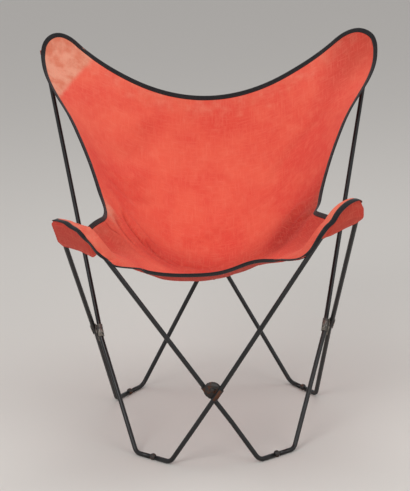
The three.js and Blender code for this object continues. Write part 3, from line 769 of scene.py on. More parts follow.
def strip(name, rings, coords):
    """Closed band whose cross-sections are the given rings of points."""
    steps, around = rings.shape[:2]
    faces = grid_faces(steps, around, wrap=True).tolist()
    faces += [list(range(around))[::-1], list(range((steps - 1) * around, steps * around))]
    mesh = bpy.data.meshes.new(name)
    mesh.from_pydata(shift(rings).tolist(), [], faces)
    lay_coords(mesh, coords)
    mesh.shade_smooth()
    tidy = bmesh.new()
    tidy.from_mesh(mesh)
    bmesh.ops.recalc_face_normals(tidy, faces=tidy.faces)
    tidy.to_mesh(mesh)
    tidy.free()
    return link(mesh, name)


def panel(name, start, end, rows):
    """One panel of the sling, between two rows across it."""
    v = np.repeat(np.linspace(start, end, rows)[:, None], PANEL_COLUMNS + 1, 1)
    half = half_width(v, CANVAS_EDGE / WIDTH_UNIT, CANVAS_EDGE / LENGTH_UNIT)
    u = np.linspace(-1, 1, PANEL_COLUMNS + 1)[None, :] * half
    points = canvas_point(u, v)
    marks = {"fade": fade(points, u, v), "soil": soil(u, v)}
    coords = arc_coords(points) + np.array((0, start * LENGTH_UNIT))
    return cloth_sheet(name, points, grid_normals(points), coords, marks)


# Front ears: turned edges and pockets, both sides seen as the left one


def front_ear_frame(p):
    """Distances of points along the left front ear bar, above it and outwards from it."""
    offset = p - FRONT_EAR
    return dot(offset, FRONT_BAR), offset[..., 2], dot(offset, FRONT_OUT)


def front_ear_place(along, above, depth):
    return FRONT_EAR + FRONT_BAR * along[..., None] + UP * above[..., None] + FRONT_OUT * depth[..., None]


def outside_rods(along, above, edge, distance):
    """Depth of cloth that leaves a sewn edge and closes round the outside of the ear bar and its rods."""
    share = np.clip(0.5 + along / (2 * FRONT_EAR_BAR), 0, 1)
    plane = mix(SIDE_ROD_LEAN, FRONT_ROD_LEAN, share) * np.minimum(above, 0)
    beyond = -along - FRONT_EAR_BAR - SIDE_ROD_SPREAD * np.maximum(-above, 0)
    wrap = smooth(beyond, ROD_RADIUS, FRONT_FLAP_MARGIN)
    tuck = FRONT_TUCK * smooth(along, *FRONT_TUCK_ALONG)
    outer = plane + (EAR_SEAT + FLAP_PLAY) * (1 - FLAP_WRAP * wrap) - tuck
    return mix(edge, outer, 1 - (1 - np.clip(distance / POCKET_WALL, 0, 1)) ** 2)


def front_border(t, left):
    """Border of the sling round a front ear."""
    edge = canvas_point(*border_spot(t if left else -t, True, 0.0))
    return front_ear_frame(edge if left else mirrored(edge))


def lip_point(t, reach, left):
    """The strip of a front ear that turns over the bar and its front rod, from ridge (0) to edge (1)."""
    edge_along, edge_above, edge_depth = front_border(t, left)
    slip = spline(LEFT_SLIP if left else RIGHT_SLIP, (t - LIP_START) / (LIP_END - LIP_START))
    low = smooth(t, *LIP_LOW) * left
    share = mix(reach, np.sqrt(reach), low)
    bulge = LIP_BULGE * np.sin(np.pi * reach) * band(t, LIP_BULGE_START, LIP_BULGE_END) * (1 - low)
    along = edge_along + slip[..., 0] * share + bulge
    above = edge_above + slip[..., 1] * share
    turned = np.clip(reach * np.maximum(1, np.hypot(slip[..., 0], slip[..., 1]) / LIP_TURN), 0, 1)
    turned = mix(turned, 1 - np.sqrt(1 - reach), low)
    outer = outside_rods(along, above, edge_depth, turned * POCKET_WALL)
    outer = outer + LIP_LIFT * smooth(reach, *LIP_LIFT_REACH)
    back = (LEFT_LIP_BACK if left else RIGHT_LIP_BACK, LIP_END)
    forward = band(t, (LIP_START, LIP_START + LIP_TURN_ON), back)
    place = front_ear_place(along, above, mix(edge_depth, outer, forward))
    return place if left else mirrored(place)


def lip_sheet(name, left):
    """The turned edge of a front ear, as a sheet of canvas."""
    border = np.linspace(LIP_START + LIP_FIRST, LIP_END - LIP_LAST, LIP_ROWS)
    t, reach = np.meshgrid(border, np.linspace(0.0, LIP_REACH, LIP_COLUMNS), indexing="ij")
    points = lip_point(t, reach, left)
    u, v = border_spot(t if left else -t, True, 0.0)
    tip = 1 - smooth(t, *LIP_TIP)
    marks = {"fade": mix(fade(points, u, v), LIP_TIP_FADE, tip), "soil": mix(soil(u, v), LIP_TIP_SOIL, tip)}
    normals = grid_normals(points)
    if np.mean(dot(normals, FRONT_OUT if left else mirrored(FRONT_OUT))) < 0:
        points, normals = points[:, ::-1], -normals[:, ::-1]
        marks = {label: values[:, ::-1] for label, values in marks.items()}
    return cloth_sheet(name, points, normals, arc_coords(points), marks)


def front_pocket_grid(left):
    """Outer layer of a front ear pocket: sewn to the border round the tip, open below."""
    mouth = LEFT_MOUTH if left else RIGHT_MOUTH
    share = np.linspace(0, 1, POCKET_COLUMNS + 1)[None, :]
    down = np.linspace(0, 1, POCKET_ROWS + 1)[:, None]
    sewn = lip_point(mix(POCKET_START, mouth["end"], share), POCKET_SEAM, left)
    edge_along, edge_above, edge_depth = front_ear_frame(sewn if left else mirrored(sewn))
    end_along = edge_along[0, -1] + mouth["turn"][0]
    end_above = edge_above[0, -1] + mouth["turn"][1]
    place = mix(mouth["along"][0], end_along, share)
    low = np.interp(place, (*mouth["along"], end_along), (*mouth["above"], end_above))
    length = np.hypot(place - edge_along, low - edge_above)
    along = mix(edge_along, place, down)
    above = mix(edge_above, low, down)
    depth = outside_rods(along, above, edge_depth - POCKET_UNDER, length * down)
    return front_ear_place(along, above, depth)


# Rear pockets


def rear_pocket_grid():
    """Outer layer of the left rear pocket: it hangs from the tip over the bar and its two rods."""
    rows, columns = np.linspace(0, 1, POCKET_ROWS + 1), np.linspace(0, 1, POCKET_COLUMNS + 1)
    down, share = np.meshgrid(rows, columns, indexing="ij")
    limit = REAR_EAR_BAR + REAR_FLAP_MARGIN
    along = (2 * share - 1) * limit
    turn = np.clip(0.5 + along / (2 * REAR_EAR_BAR), 0, 1)[..., None]
    fall = unit(mix(unit(REAR_SIDE_ROD), unit(REAR_ROD), turn))
    tall = REAR_FLAP_TIP * (1 - REAR_FLAP_TAPER * (share * 2 - 1) ** 2)
    below = -tall + (REAR_FLAP_DROP + tall) * down
    along = along * (1 - REAR_TUCK * bump(below, 0.0, REAR_TUCK_HEIGHT))
    wrap = smooth(np.abs(along), REAR_EAR_BAR + ROD_RADIUS, limit)
    over = smooth((-below - FLAP_TURN) / np.maximum(tall - FLAP_TURN, 1e-6), 0, 1)
    beside = (EAR_SEAT + FLAP_PLAY) * (1 - FLAP_WRAP * wrap)
    above = TIP_LEAN * tall - EAR_SEAT + REAR_LAP
    hang = np.where((below > 0)[..., None], fall * below[..., None], UP * (-below)[..., None])
    p = REAR_EAR + REAR_BAR * along[..., None] + hang
    return p + REAR_OUT * mix(beside, above, over)[..., None]


def pocket(name, grid, flip):
    """A pocket's flap as a sheet of canvas, on the right where it is flipped."""
    points, normals = grid, grid_normals(grid)
    if flip:
        points = mirrored(grid)
        normals = -grid_normals(points)[:, ::-1]
        points = points[:, ::-1]
    marks = {label: np.zeros(points.shape[:2]) for label in UNDERSIDE_FADE_AND_SHADE}
    return cloth_sheet(name, points, normals, arc_coords(points), marks)


# Tape


def moving_mean(values, reach):
    """Rows averaged with their neighbours on both sides."""
    padded = np.pad(values, ((reach, reach), (0, 0)), mode="edge")
    return np.mean([padded[k:k + len(values)] for k in range(2 * reach + 1)], axis=0)


def taped_cloth(t, from_front, depth):
    """Place on the cloth at a depth from its border, over the turned edges of the front ears."""
    edge = canvas_point(*border_spot(t, from_front, 0.0))
    inward = canvas_point(*border_spot(t, from_front, TAPE_WIDTH)) - edge
    run = unit(np.gradient(edge, axis=0))
    inward = unit(inward - run * dot(inward, run)[..., None])
    places = edge + inward * depth
    if not from_front:
        return places
    reach = np.linspace(1, 0, LIP_SAMPLES)
    for left in (True, False):
        place = t if left else -t
        path = lip_point(place[None, :], reach[:, None], left)
        gone = np.cumsum(np.linalg.norm(np.diff(path, axis=0, prepend=path[:1]), axis=-1), axis=0)
        share = np.array([np.interp(depth, column, reach) for column in gone.T])
        turned = lip_point(place, share, left)
        flat = edge + inward * np.maximum(depth - gone[-1], 0)[:, None]
        over_lip = np.where((depth < gone[-1])[:, None], turned, flat)
        on_lip = (place > LIP_START) & (place < LIP_END)
        places = np.where(on_lip[:, None], over_lip, places)
    return places


def tape_frame(t, from_front):
    """Places across the tape from its fold to its inner edge, and the normals there."""
    depths = np.linspace(0, TAPE_WIDTH, TAPE_LEVELS)
    places = np.stack([taped_cloth(t, from_front, depth) for depth in depths])
    normals = unit(np.cross(np.gradient(places, axis=1), np.gradient(places, axis=0)))
    normals = unit(np.stack([moving_mean(level, len(t) // TAPE_SMOOTHING) for level in normals]))
    inner = cloth_normal(*border_spot(t, from_front, TAPE_WIDTH))
    return places, normals * np.sign(np.mean(dot(normals[-1], inner)))


def tape_spot(tape_grids, across):
    """Places and normals of a tape at a share of its width."""
    level = across * (TAPE_LEVELS - 1)
    low = min(int(level), TAPE_LEVELS - 2)
    return [mix(grid[low], grid[low + 1], level - low) for grid in tape_grids]


def tape(name, from_front):
    """Woven tape folded over the edge of one panel, from crease to crease."""
    t = np.linspace(-1, 1, TAPE_STEPS + 1)
    tape_grids = tape_frame(t, from_front)
    ripple = TAPE_RIPPLE * np.sin(TAPE_WAVES[0] * t) * np.sin(TAPE_WAVES[1] * t + 1)
    thickness = TAPE_HALF * (1 + ripple)
    rings = []
    for across, height in TAPE_PROFILE:
        place, normal = tape_spot(tape_grids, across)
        rings.append(place + normal * (height * thickness)[:, None])
    fold = tape_grids[0][0]
    length = np.concatenate(([0], np.cumsum(np.linalg.norm(np.diff(fold, axis=0), axis=1))))
    around = [math.copysign(across, height) * TAPE_WIDTH for across, height in TAPE_PROFILE]
    coords = np.stack(np.meshgrid(length, around, indexing="ij"), -1)
    return strip(name, np.stack(rings, 1), coords)


def tape_seams(from_front):
    """Seams on both faces of a tape, a little inside its inner edge."""
    t = np.linspace(-TAPE_SEAM_END, TAPE_SEAM_END, TAPE_STEPS * 2)
    line, normal = tape_spot(tape_frame(t, from_front), TAPE_SEAM)
    lift = normal * (TAPE_HALF + THREAD * TAPE_THREAD_LIFT)
    return [line + lift, line - lift]


# Node trees


class NodeNet:
    """A node tree with short calls for making and joining nodes."""

    def __init__(self, tree):
        self.tree = tree

    def add(self, kind, settings=None, **inputs):
        """A new node: an input is named by its label, or by its number after an underscore."""
        node = self.tree.nodes.new(kind)
        for key, value in (settings or {}).items():
            setattr(node, key, value)
        for key, value in inputs.items():
            label = int(key[1:]) if key.startswith("_") else key.replace("_", " ")
            self.feed(node.inputs[label], value)
        return node

    def feed(self, socket, value):
        if isinstance(value, bpy.types.NodeSocket):
            self.tree.links.new(value, socket)
        else:
            socket.default_value = value

    def noise(self, vector, scale, detail=4.0, roughness=0.55):
        node = self.add("ShaderNodeTexNoise", Vector=vector, Scale=scale, Detail=detail, Roughness=roughness)
        return node.outputs["Fac"]

    def ramp(self, value, low, high, start=0.0, end=1.0):
        node = self.add("ShaderNodeMapRange", {"interpolation_type": "SMOOTHSTEP"}, Value=value)
        for key, number in (("From Min", low), ("From Max", high), ("To Min", start), ("To Max", end)):
            self.feed(node.inputs[key], number)
        return node.outputs["Result"]

    def math(self, operation, *values):
        node = self.add("ShaderNodeMath", {"operation": operation})
        for socket, value in zip(node.inputs, values):
            self.feed(socket, value)
        return node.outputs[0]

    def scaled(self, vector, scale):
        node = self.add("ShaderNodeVectorMath", {"operation": "MULTIPLY"}, _0=vector, _1=scale)
        return node.outputs[0]

    def blend(self, share, a, b):
        return self.add("ShaderNodeMix", {"data_type": "RGBA"}, _0=share, _6=a, _7=b).outputs[2]

    def bump(self, height, strength, distance):
        node = self.add("ShaderNodeBump", Height=height, Strength=strength, Distance=distance)
        return node.outputs["Normal"]

    def place(self):
        return self.add("ShaderNodeTexCoord").outputs["Object"]

    def cloth(self):
        return self.add("ShaderNodeUVMap", {"uv_map": "Cloth"}).outputs["UV"]

    def mark(self, name):
        return self.add("ShaderNodeAttribute", {"attribute_name": name}).outputs["Fac"]

    def group(self, tree, **inputs):
        return self.add("ShaderNodeGroup", {"node_tree": tree}, **inputs).outputs


def group(name, kind, inputs, outputs):
    """A new node group: its net, its input and output sockets, and the identifiers of its inputs."""
    tree = bpy.data.node_groups.new(name, kind)
    identifiers = {}
    for label, socket_kind in inputs.items():
        socket = tree.interface.new_socket(label, in_out="INPUT", socket_type=socket_kind)
        identifiers[label] = socket.identifier
    for label, socket_kind in outputs.items():
        tree.interface.new_socket(label, in_out="OUTPUT", socket_type=socket_kind)
    net = NodeNet(tree)
    return net, net.add("NodeGroupInput").outputs, net.add("NodeGroupOutput").inputs, identifiers


FLOAT, VECTOR = "NodeSocketFloat", "NodeSocketVector"
GEOMETRY, MATERIAL = "NodeSocketGeometry", "NodeSocketMaterial"


# Stitching


def stitch_row():
    """Stitches along a curve: each one a small rounded bar that follows the seam."""
    sizes = {"Spacing": FLOAT, "Stitch length": FLOAT, "Thread": FLOAT}
    inputs = {"Seam": GEOMETRY, **sizes, "Material": MATERIAL}
    net, given, out, identifiers = group("stitch_row", "GeometryNodeTree", inputs, {"Stitches": GEOMETRY})
    by_length = {"mode": "LENGTH"}
    spread = net.add("GeometryNodeResampleCurve", by_length, Curve=given["Seam"], Length=given["Spacing"])
    bar = net.add("GeometryNodeMeshUVSphere", Segments=STITCH_SEGMENTS, Rings=STITCH_RINGS, Radius=1.0)
    tangent = net.add("GeometryNodeInputTangent").outputs["Tangent"]
    turn = net.add("FunctionNodeAlignRotationToVector", {"axis": "Z"}, Vector=tangent)
    half_length = net.math("MULTIPLY", given["Stitch length"], 0.5)
    size = net.add("ShaderNodeCombineXYZ", X=given["Thread"], Y=given["Thread"], Z=half_length)
    laid = net.add(
        "GeometryNodeInstanceOnPoints",
        Points=spread.outputs["Curve"],
        Instance=bar.outputs["Mesh"],
        Rotation=turn.outputs["Rotation"],
        Scale=size.outputs["Vector"],
    )
    real = net.add("GeometryNodeRealizeInstances", Geometry=laid.outputs["Instances"])
    dyed = net.add("GeometryNodeSetMaterial", Geometry=real.outputs["Geometry"], Material=given["Material"])
    net.feed(out["Stitches"], dyed.outputs["Geometry"])
    return net.tree, identifiers


STITCH_ROW, STITCH_INPUTS = stitch_row()


def stitches(name, seams, thread):
    """One mesh of stitches along one or more seams, each a list of points."""
    curve = bpy.data.curves.new(name + "_seam", "CURVE")
    curve.dimensions = "3D"
    for seam in seams:
        points = shift(seam)
        run = curve.splines.new("POLY")
        run.points.add(len(points) - 1)
        places = np.concatenate((points, np.ones((len(points), 1))), 1)
        run.points.foreach_set("co", places.astype(np.float32).ravel())
    guide = link(curve, name + "_seam")
    rows = guide.modifiers.new("Stitches", "NODES")
    rows.node_group = STITCH_ROW
    rows[STITCH_INPUTS["Spacing"]] = STITCH_SPACING
    rows[STITCH_INPUTS["Stitch length"]] = STITCH_LENGTH
    rows[STITCH_INPUTS["Thread"]] = THREAD
    rows[STITCH_INPUTS["Material"]] = thread
    graph = bpy.context.evaluated_depsgraph_get()
    mesh = bpy.data.meshes.new_from_object(guide.evaluated_get(graph), depsgraph=graph)
    bpy.data.objects.remove(guide)
    mesh.shade_smooth()
    return link(mesh, name)


# Shared effects of the finishes: a span is where a noise starts and ends, and what it turns into there

SLUB_ALONG = (260.0, 26.0, 1.0)
SLUB_ACROSS = (30.0, 240.0, 1.0)
SLUB_SPAN = (0.45, 0.75)
WORN_BROAD = 0.8
WORN_FINE = 0.2
WORN_LEVEL = 0.78
WORN_STEP = 0.5
WORN_EDGE = 0.05


def plain_weave():
    """Over-and-under threads of a woven cloth, from cloth coordinates in metres."""
    inputs = {"Cloth": VECTOR, "Threads": FLOAT}
    net, given, out, _ = group("plain_weave", "ShaderNodeTree", inputs, {"Height": FLOAT, "Slub": FLOAT})
    split = net.add("ShaderNodeSeparateXYZ", Vector=given["Cloth"]).outputs
    across, along = (
        net.math("SINE", net.math("MULTIPLY", net.math("MULTIPLY", split[axis], given["Threads"]), math.pi))
        for axis in ("X", "Y")
    )
    over = net.math("MULTIPLY", across, along)
    net.feed(out["Height"], net.math("MULTIPLY_ADD", over, 0.5, 0.5))
    stretched = [net.scaled(given["Cloth"], scale) for scale in (SLUB_ALONG, SLUB_ACROSS)]
    thick = [net.noise(cloth_place, 1.0, detail=3.0) for cloth_place in stretched]
    net.feed(out["Slub"], net.ramp(net.math("MAXIMUM", *thick), *SLUB_SPAN))
    return net.tree


def worn_patches():
    """Patches where a coating has worn or broken away, with fine scratches along their edges."""
    inputs = {"Place": VECTOR, "Scale": FLOAT, "Amount": FLOAT, "Grain": FLOAT}
    net, given, out, _ = group("worn_patches", "ShaderNodeTree", inputs, {"Mask": FLOAT, "Fine": FLOAT})
    broad = net.noise(given["Place"], given["Scale"], detail=6.0, roughness=0.62)
    fine = net.noise(given["Place"], given["Grain"], detail=3.0, roughness=0.6)
    mixed = net.math("ADD", net.math("MULTIPLY", broad, WORN_BROAD), net.math("MULTIPLY", fine, WORN_FINE))
    level = net.math("SUBTRACT", WORN_LEVEL, net.math("MULTIPLY", given["Amount"], WORN_STEP))
    net.feed(out["Mask"], net.ramp(mixed, level, net.math("ADD", level, WORN_EDGE)))
    net.feed(out["Fine"], fine)
    return net.tree


WEAVE = plain_weave()
WORN = worn_patches()


# Finishes: colours as sRGB numbers of 0 to 255, patterns in steps per metre and depths in metres

# Canvas
CORAL = (229, 80, 66)
CORAL_LIGHT = (238, 102, 80)
CORAL_MIDDLE = (233, 90, 73)
CORAL_RUBBED = (243, 128, 102)
CORAL_SLUB = (248, 142, 116)
# Dark coral for soiled canvas and for painted shade
CORAL_SOILED_AND_SHADED = (164, 36, 32)
BLEACHED_DULL = (216, 128, 100)
BLEACHED = (231, 163, 136)
CANVAS_THREADS = 640.0
CANVAS_CLOUDS = 7.0
CANVAS_MOTTLE = 42.0
CANVAS_PATCHES = 24.0
CANVAS_FIBRES = 1500.0
CLOUD_SPAN = (0.32, 0.68)
RUBBED_SPAN = (0.45, 0.80, 0.0, 0.35)
PATCH_SPAN = (0.38, 0.62)
BLEACH_UNEVEN = 0.55
BLEACH_SPAN = (0.12, 0.95, 0.0, 0.9)
STAIN_AND_SHADE_SPAN = (0.25, 0.75, 0.7, 1.0)
STAIN_AND_SHADE_STRENGTH = 0.92
CANVAS_SLUB_SHARE = 0.22
CANVAS_SHADE_SPAN = (0.1, 0.9, 0.90, 1.05)
CANVAS_ROUGH_SPAN = (0.2, 0.8, 0.82, 0.95)
FIBRE_HEIGHT = 0.5
SLUB_HEIGHT = 0.8
CANVAS_BUMP = 0.45

# Tape
TAPE_BLACK = (16, 16, 19)
TAPE_LINT = (34, 34, 37)
TAPE_MIDDLE = (40, 42, 45)
TAPE_SLUB = (58, 56, 57)
TAPE_THREADS = 1100.0
LINT_CLOUDS = 90.0
LINT_SPAN = (0.35, 0.75)
TAPE_SLUB_SHARE = 0.25
TAPE_ROUGH_SPAN = (0.3, 0.8, 0.72, 0.92)
TAPE_BUMP = 0.5
WEAVE_DEPTH = 0.0004

# Sewing thread
THREAD_TWIST = 1400.0
TWIST_SPAN = (0.35, 0.65)
TWIST_ROUGH_SPAN = (0.3, 0.7, 0.6, 0.85)
TWIST_BUMP = 0.4
TWIST_DEPTH = 0.0002

# Coated steel
METAL_DRIFT = 25.0
DRIFT_SPAN = (0.3, 0.7)
DUST_GAIN = 1.35
DUST_ADDED = 6
WORN_GRAIN = 700.0
RUST_GRAIN = 420.0
RUST_SCALE = 0.55
RUST_DARK = 0.5
BARE_METALLIC = 0.85
GLOSS_SPAN = (0.25, 0.75)
GLOSS_LOSS = 0.16
RUST_ROUGHNESS = 0.42
GRAIN_HEIGHT = 0.3
RUST_HEIGHT = 0.6
WORN_DROP = 0.3
METAL_BUMP = 0.35
METAL_DEPTH = 0.0004

# Floor and surroundings
FLOOR_MIDDLE = (226, 222, 216)
FLOOR_TONE = (222, 218, 212)
WORLD_TONE = (236, 236, 238)


def rgb(shade):
    """Linear colour from sRGB numbers of 0 to 255."""
    parts = (np.array(shade) / 255.0).tolist()
    return tuple(c / 12.92 if c <= 0.04045 else ((c + 0.055) / 1.055) ** 2.4 for c in parts)


def rgba(shade):
    return (*rgb(shade), 1.0)


def material(name, shade):
    made = bpy.data.materials.new(name)
    made.use_nodes = True
    made.diffuse_color = rgba(shade)
    return made, NodeNet(made.node_tree), made.node_tree.nodes["Principled BSDF"].inputs


def coral_canvas():
    """Woven canvas, bleached, soiled and darkened with painted shade where its marks say so."""
    made, net, face = material("coral_canvas", CORAL_MIDDLE)
    place = net.place()
    weave = net.group(WEAVE, Cloth=net.cloth(), Threads=CANVAS_THREADS)
    cloud = net.noise(place, CANVAS_CLOUDS, detail=5.0, roughness=0.6)
    mottle = net.noise(place, CANVAS_MOTTLE, detail=5.0, roughness=0.65)
    tint = net.blend(net.ramp(cloud, *CLOUD_SPAN), rgba(CORAL), rgba(CORAL_LIGHT))
    tint = net.blend(net.ramp(mottle, *RUBBED_SPAN), tint, rgba(CORAL_RUBBED))
    uneven = net.math("MULTIPLY", net.math("SUBTRACT", mottle, 0.5), BLEACH_UNEVEN)
    ragged = net.math("ADD", net.mark("fade"), uneven)
    patch = net.noise(place, CANVAS_PATCHES, roughness=0.6)
    pale = net.blend(net.ramp(patch, *PATCH_SPAN), rgba(BLEACHED_DULL), rgba(BLEACHED))
    tint = net.blend(net.ramp(ragged, *BLEACH_SPAN), tint, pale)
    # The soil mark carries painted shade as well as dirt, so this darkening is partly dirt and partly
    # painted shade
    stain_and_shade = net.math("MULTIPLY", net.mark("soil"), net.ramp(cloud, *STAIN_AND_SHADE_SPAN))
    tint = net.blend(net.math("MULTIPLY", stain_and_shade, STAIN_AND_SHADE_STRENGTH), tint, rgba(CORAL_SOILED_AND_SHADED))
    tint = net.blend(net.math("MULTIPLY", weave["Slub"], CANVAS_SLUB_SHARE), tint, rgba(CORAL_SLUB))
    thread = net.ramp(weave["Height"], *CANVAS_SHADE_SPAN)
    shaded = net.add("ShaderNodeVectorMath", {"operation": "SCALE"}, _0=tint, Scale=thread)
    net.feed(face["Base Color"], shaded.outputs[0])
    net.feed(face["Roughness"], net.ramp(mottle, *CANVAS_ROUGH_SPAN))
    fibre = net.noise(place, CANVAS_FIBRES, detail=2.0, roughness=0.7)
    height = net.math("ADD", weave["Height"], net.math("MULTIPLY", fibre, FIBRE_HEIGHT))
    height = net.math("ADD", height, net.math("MULTIPLY", weave["Slub"], SLUB_HEIGHT))
    net.feed(face["Normal"], net.bump(height, CANVAS_BUMP, WEAVE_DEPTH))
    face["Sheen Weight"].default_value = 0.04
    face["Sheen Roughness"].default_value = 0.6
    face["Specular IOR Level"].default_value = 0.1
    return made


def black_tape():
    made, net, face = material("black_tape", TAPE_MIDDLE)
    weave = net.group(WEAVE, Cloth=net.cloth(), Threads=TAPE_THREADS)
    lint = net.noise(net.place(), LINT_CLOUDS, detail=5.0, roughness=0.7)
    tone = net.blend(net.ramp(lint, *LINT_SPAN), rgba(TAPE_BLACK), rgba(TAPE_LINT))
    tone = net.blend(net.math("MULTIPLY", weave["Slub"], TAPE_SLUB_SHARE), tone, rgba(TAPE_SLUB))
    net.feed(face["Base Color"], tone)
    net.feed(face["Roughness"], net.ramp(lint, *TAPE_ROUGH_SPAN))
    net.feed(face["Normal"], net.bump(weave["Height"], TAPE_BUMP, WEAVE_DEPTH))
    face["Sheen Weight"].default_value = 0.15
    face["Specular IOR Level"].default_value = 0.25
    return made


def sewing_thread(name, tone, pale):
    made, net, face = material(name, tone)
    twist = net.noise(net.place(), THREAD_TWIST, detail=2.0)
    net.feed(face["Base Color"], net.blend(net.ramp(twist, *TWIST_SPAN), rgba(tone), rgba(pale)))
    net.feed(face["Roughness"], net.ramp(twist, *TWIST_ROUGH_SPAN))
    net.feed(face["Normal"], net.bump(twist, TWIST_BUMP, TWIST_DEPTH))
    return made


def worn_metal(name, coat, bare, rust, worn_amount, rust_amount, gloss, scale):
    """Coated steel: a coat that is worn through to metal in patches, with rust creeping out of them."""
    made, net, face = material(name, coat)
    place = net.place()
    worn = net.group(WORN, Place=place, Scale=scale, Amount=worn_amount, Grain=WORN_GRAIN)
    rusty = net.group(WORN, Place=place, Scale=scale * RUST_SCALE, Amount=rust_amount, Grain=RUST_GRAIN)
    drift = net.noise(place, METAL_DRIFT)
    dusty = [min(255, int(c * DUST_GAIN) + DUST_ADDED) for c in coat]
    dark_rust = [int(c * RUST_DARK) for c in rust]
    tone = net.blend(net.ramp(drift, *DRIFT_SPAN), rgba(coat), rgba(dusty))
    tone = net.blend(worn["Mask"], tone, rgba(bare))
    tone = net.blend(rusty["Mask"], tone, net.blend(rusty["Fine"], rgba(rust), rgba(dark_rust)))
    net.feed(face["Base Color"], tone)
    clean = net.math("SUBTRACT", 1.0, rusty["Mask"])
    shiny = net.math("MULTIPLY", worn["Mask"], clean)
    net.feed(face["Metallic"], net.math("MULTIPLY", shiny, BARE_METALLIC))
    rough = net.ramp(drift, *GLOSS_SPAN, gloss, gloss + GLOSS_LOSS)
    net.feed(face["Roughness"], net.math("ADD", rough, net.math("MULTIPLY", rusty["Mask"], RUST_ROUGHNESS)))
    grain = net.math("MULTIPLY", worn["Fine"], GRAIN_HEIGHT)
    height = net.math("ADD", grain, net.math("MULTIPLY", rusty["Mask"], RUST_HEIGHT))
    height = net.math("SUBTRACT", height, net.math("MULTIPLY", worn["Mask"], WORN_DROP))
    net.feed(face["Normal"], net.bump(height, METAL_BUMP, METAL_DEPTH))
    return made


CORAL_CANVAS = coral_canvas()
BLACK_TAPE = black_tape()
BLACK_THREAD = sewing_thread("black_thread", (30, 30, 33), (74, 72, 72))
CORAL_THREAD = sewing_thread("coral_thread", (205, 84, 70), (236, 140, 118))
ROD_ENAMEL = worn_metal(
    "rod_enamel",
    coat=(12, 12, 13),
    bare=(112, 104, 95),
    rust=(78, 46, 28),
    worn_amount=0.16,
    rust_amount=0.10,
    gloss=0.30,
    scale=55.0,
)
BRACKET_STEEL = worn_metal(
    "bracket_steel",
    coat=(58, 56, 54),
    bare=(142, 136, 128),
    rust=(92, 62, 42),
    worn_amount=0.62,
    rust_amount=0.16,
    gloss=0.42,
    scale=120.0,
)
RUSTED_STEEL = worn_metal(
    "rusted_steel",
    coat=(34, 29, 27),
    bare=(104, 90, 78),
    rust=(106, 62, 38),
    worn_amount=0.26,
    rust_amount=0.52,
    gloss=0.44,
    scale=95.0,
)


# Frame of rods, brackets, rivets and beads


def frame_finish(node):
    if "bracket" in node and not node.startswith(("front_bracket", "rear_bracket")):
        return BRACKET_STEEL
    if "bracket" in node or "bead" in node:
        return RUSTED_STEEL
    return ROD_ENAMEL


SOFT_NODES = {"sling_seat", "sling_back", "seat_binding", "back_binding"}
SMOOTH_ANGLE = math.radians(40)
MERGE_DISTANCE = 1e-6


def smooth_metal(node, body):
    """The solid of a metal piece with its facets shaded as one round surface."""
    copy = frame["nodes"][node].data.copy()
    tidy = bmesh.new()
    tidy.from_mesh(copy)
    bmesh.ops.remove_doubles(tidy, verts=tidy.verts, dist=MERGE_DISTANCE)
    tidy.to_mesh(copy)
    tidy.free()
    copy.materials.clear()
    copy.materials.append(frame_finish(node))
    copy.shade_smooth()
    copy.set_sharp_from_angle(angle=SMOOTH_ANGLE)
    piece = link(copy, node + "_metal")
    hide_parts(node)
    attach(piece, body)


for body, names in frame["record"]["behaviour"]["bodies"].items():
    for node in names:
        if node not in SOFT_NODES and "pocket" not in node:
            smooth_metal(node, body)


# Sling


def dress(piece, finish, body, folds):
    if finish is not None:
        piece.data.materials.append(finish)
    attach(piece, body)
    if folds:
        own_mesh(piece)


END = CANVAS_EDGE / LENGTH_UNIT
seat = panel("canvas_seat", END, CREASE, SEAT_ROWS)
back = panel("canvas_back", CREASE, 1 - END, BACK_ROWS)
left_lip = lip_sheet("left_ear_lip", True)
right_lip = lip_sheet("right_ear_lip", False)
seat_tape = tape("seat_tape", True)
back_tape = tape("back_tape", False)
seat_stitches = stitches("seat_tape_stitches", tape_seams(True), BLACK_THREAD)
back_stitches = stitches("back_tape_stitches", tape_seams(False), BLACK_THREAD)

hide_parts("sling_seat")
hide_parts("sling_back")
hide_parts("seat_binding")
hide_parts("back_binding")
for piece, finish, slot, body in (
    (seat, CORAL_CANVAS, "canvas", "sling_seat"),
    (left_lip, CORAL_CANVAS, "canvas", "sling_seat"),
    (right_lip, CORAL_CANVAS, "canvas", "sling_seat"),
    (back, CORAL_CANVAS, "canvas", "sling_back"),
    (seat_tape, BLACK_TAPE, "binding_tape", "sling_seat"),
    (back_tape, BLACK_TAPE, "binding_tape", "sling_back"),
    (seat_stitches, None, "binding_tape", "sling_seat"),
    (back_stitches, None, "binding_tape", "sling_back"),
):
    dress(piece, finish, body, True)

for ear, side, body, cut, carrier in (
    ("front", "left", "front_left", LEFT_POCKET_CUT, "front_rod_left_ear_metal"),
    ("front", "right", "front_right", RIGHT_POCKET_CUT, "front_rod_right_ear_metal"),
    ("rear", "left", "left_rear", REAR_POCKET_CUT, "left_rod_rear_ear_metal"),
    ("rear", "right", "right_rear", REAR_POCKET_CUT, "right_rod_rear_ear_metal"),
):
    name = f"{ear}_{side}_pocket"
    grid = front_pocket_grid(side == "left") if ear == "front" else rear_pocket_grid()
    if body == "right_rear":
        grid = grid - UP * (RIGHT_EAR_SINK * above_rear_bar(grid))[..., None]
    flap = pocket(name + "_canvas", grid, side == "right")
    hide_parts(name)
    dress(flap, CORAL_CANVAS, body, False)
    out = FRONT_OUT if ear == "front" else REAR_OUT
    line = grid[POCKET_SEAM_ROWS].mean(axis=0) + out * (CANVAS / 2 + THREAD * POCKET_THREAD_LIFT)
    row = stitches(name + "_stitches", [line if side == "left" else mirrored(line)], CORAL_THREAD)
    dress(row, None, body, False)


# Floor, light and camera


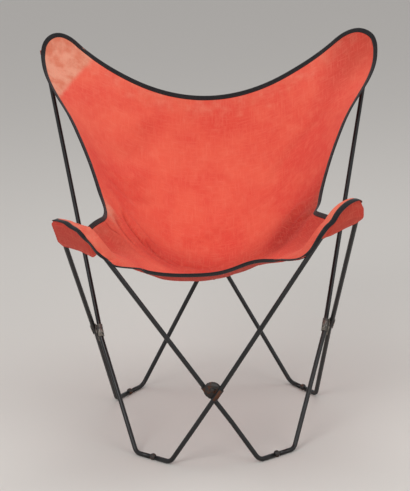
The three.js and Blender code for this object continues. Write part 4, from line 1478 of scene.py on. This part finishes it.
def pale_floor():
    mesh = bpy.data.meshes.new("floor")
    corners = [(x * FLOOR_REACH, y * FLOOR_REACH, 0) for x, y in ((-1, -1), (1, -1), (1, 1), (-1, 1))]
    mesh.from_pydata(corners, [], [(0, 1, 2, 3)])
    made, net, face = material("pale_floor", FLOOR_MIDDLE)
    net.feed(face["Base Color"], rgba(FLOOR_TONE))
    net.feed(face["Roughness"], 0.85)
    net.feed(face["Specular IOR Level"], 0.1)
    mesh.materials.append(made)
    link(mesh, "floor")


def lamp(name, place, target, size, power):
    light = bpy.data.lights.new(name, "AREA")
    light.shape = "DISK"
    light.size = size
    light.energy = power
    thing = link(light, name)
    thing.location = place
    thing.rotation_euler = (Vector(target) - Vector(place)).to_track_quat("-Z", "Y").to_euler()


def studio():
    world = bpy.data.worlds.new("studio")
    world.use_nodes = True
    surround = world.node_tree.nodes["Background"].inputs
    surround["Color"].default_value = rgba(WORLD_TONE)
    surround["Strength"].default_value = WORLD_STRENGTH
    bpy.context.scene.world = world
    for values in LAMPS:
        lamp(*values)


def photo_camera():
    yaw, pitch, roll = CAMERA_YAW, CAMERA_PITCH, CAMERA_ROLL
    forward = Vector((math.sin(yaw) * math.cos(pitch), math.cos(yaw) * math.cos(pitch), -math.sin(pitch)))
    right = Vector((math.cos(yaw), -math.sin(yaw), 0))
    upward = right.cross(forward)
    across = right * math.cos(roll) + upward * math.sin(roll)
    rise = upward * math.cos(roll) - right * math.sin(roll)
    data = bpy.data.cameras.new("photo_camera")
    data.sensor_fit = "HORIZONTAL"
    data.sensor_width = SENSOR_WIDTH
    data.lens = FOCAL_PIXELS / PICTURE_WIDTH * SENSOR_WIDTH
    data.clip_end = VIEW_DEPTH
    camera = link(data, "photo_camera")
    turn = Matrix((across, rise, -forward)).transposed()
    camera.matrix_world = Matrix.Translation(CAMERA_PLACE) @ turn.to_4x4()
    bpy.context.scene.camera = camera


pale_floor()
studio()
photo_camera()
bpy.context.scene.view_settings.view_transform = "Standard"
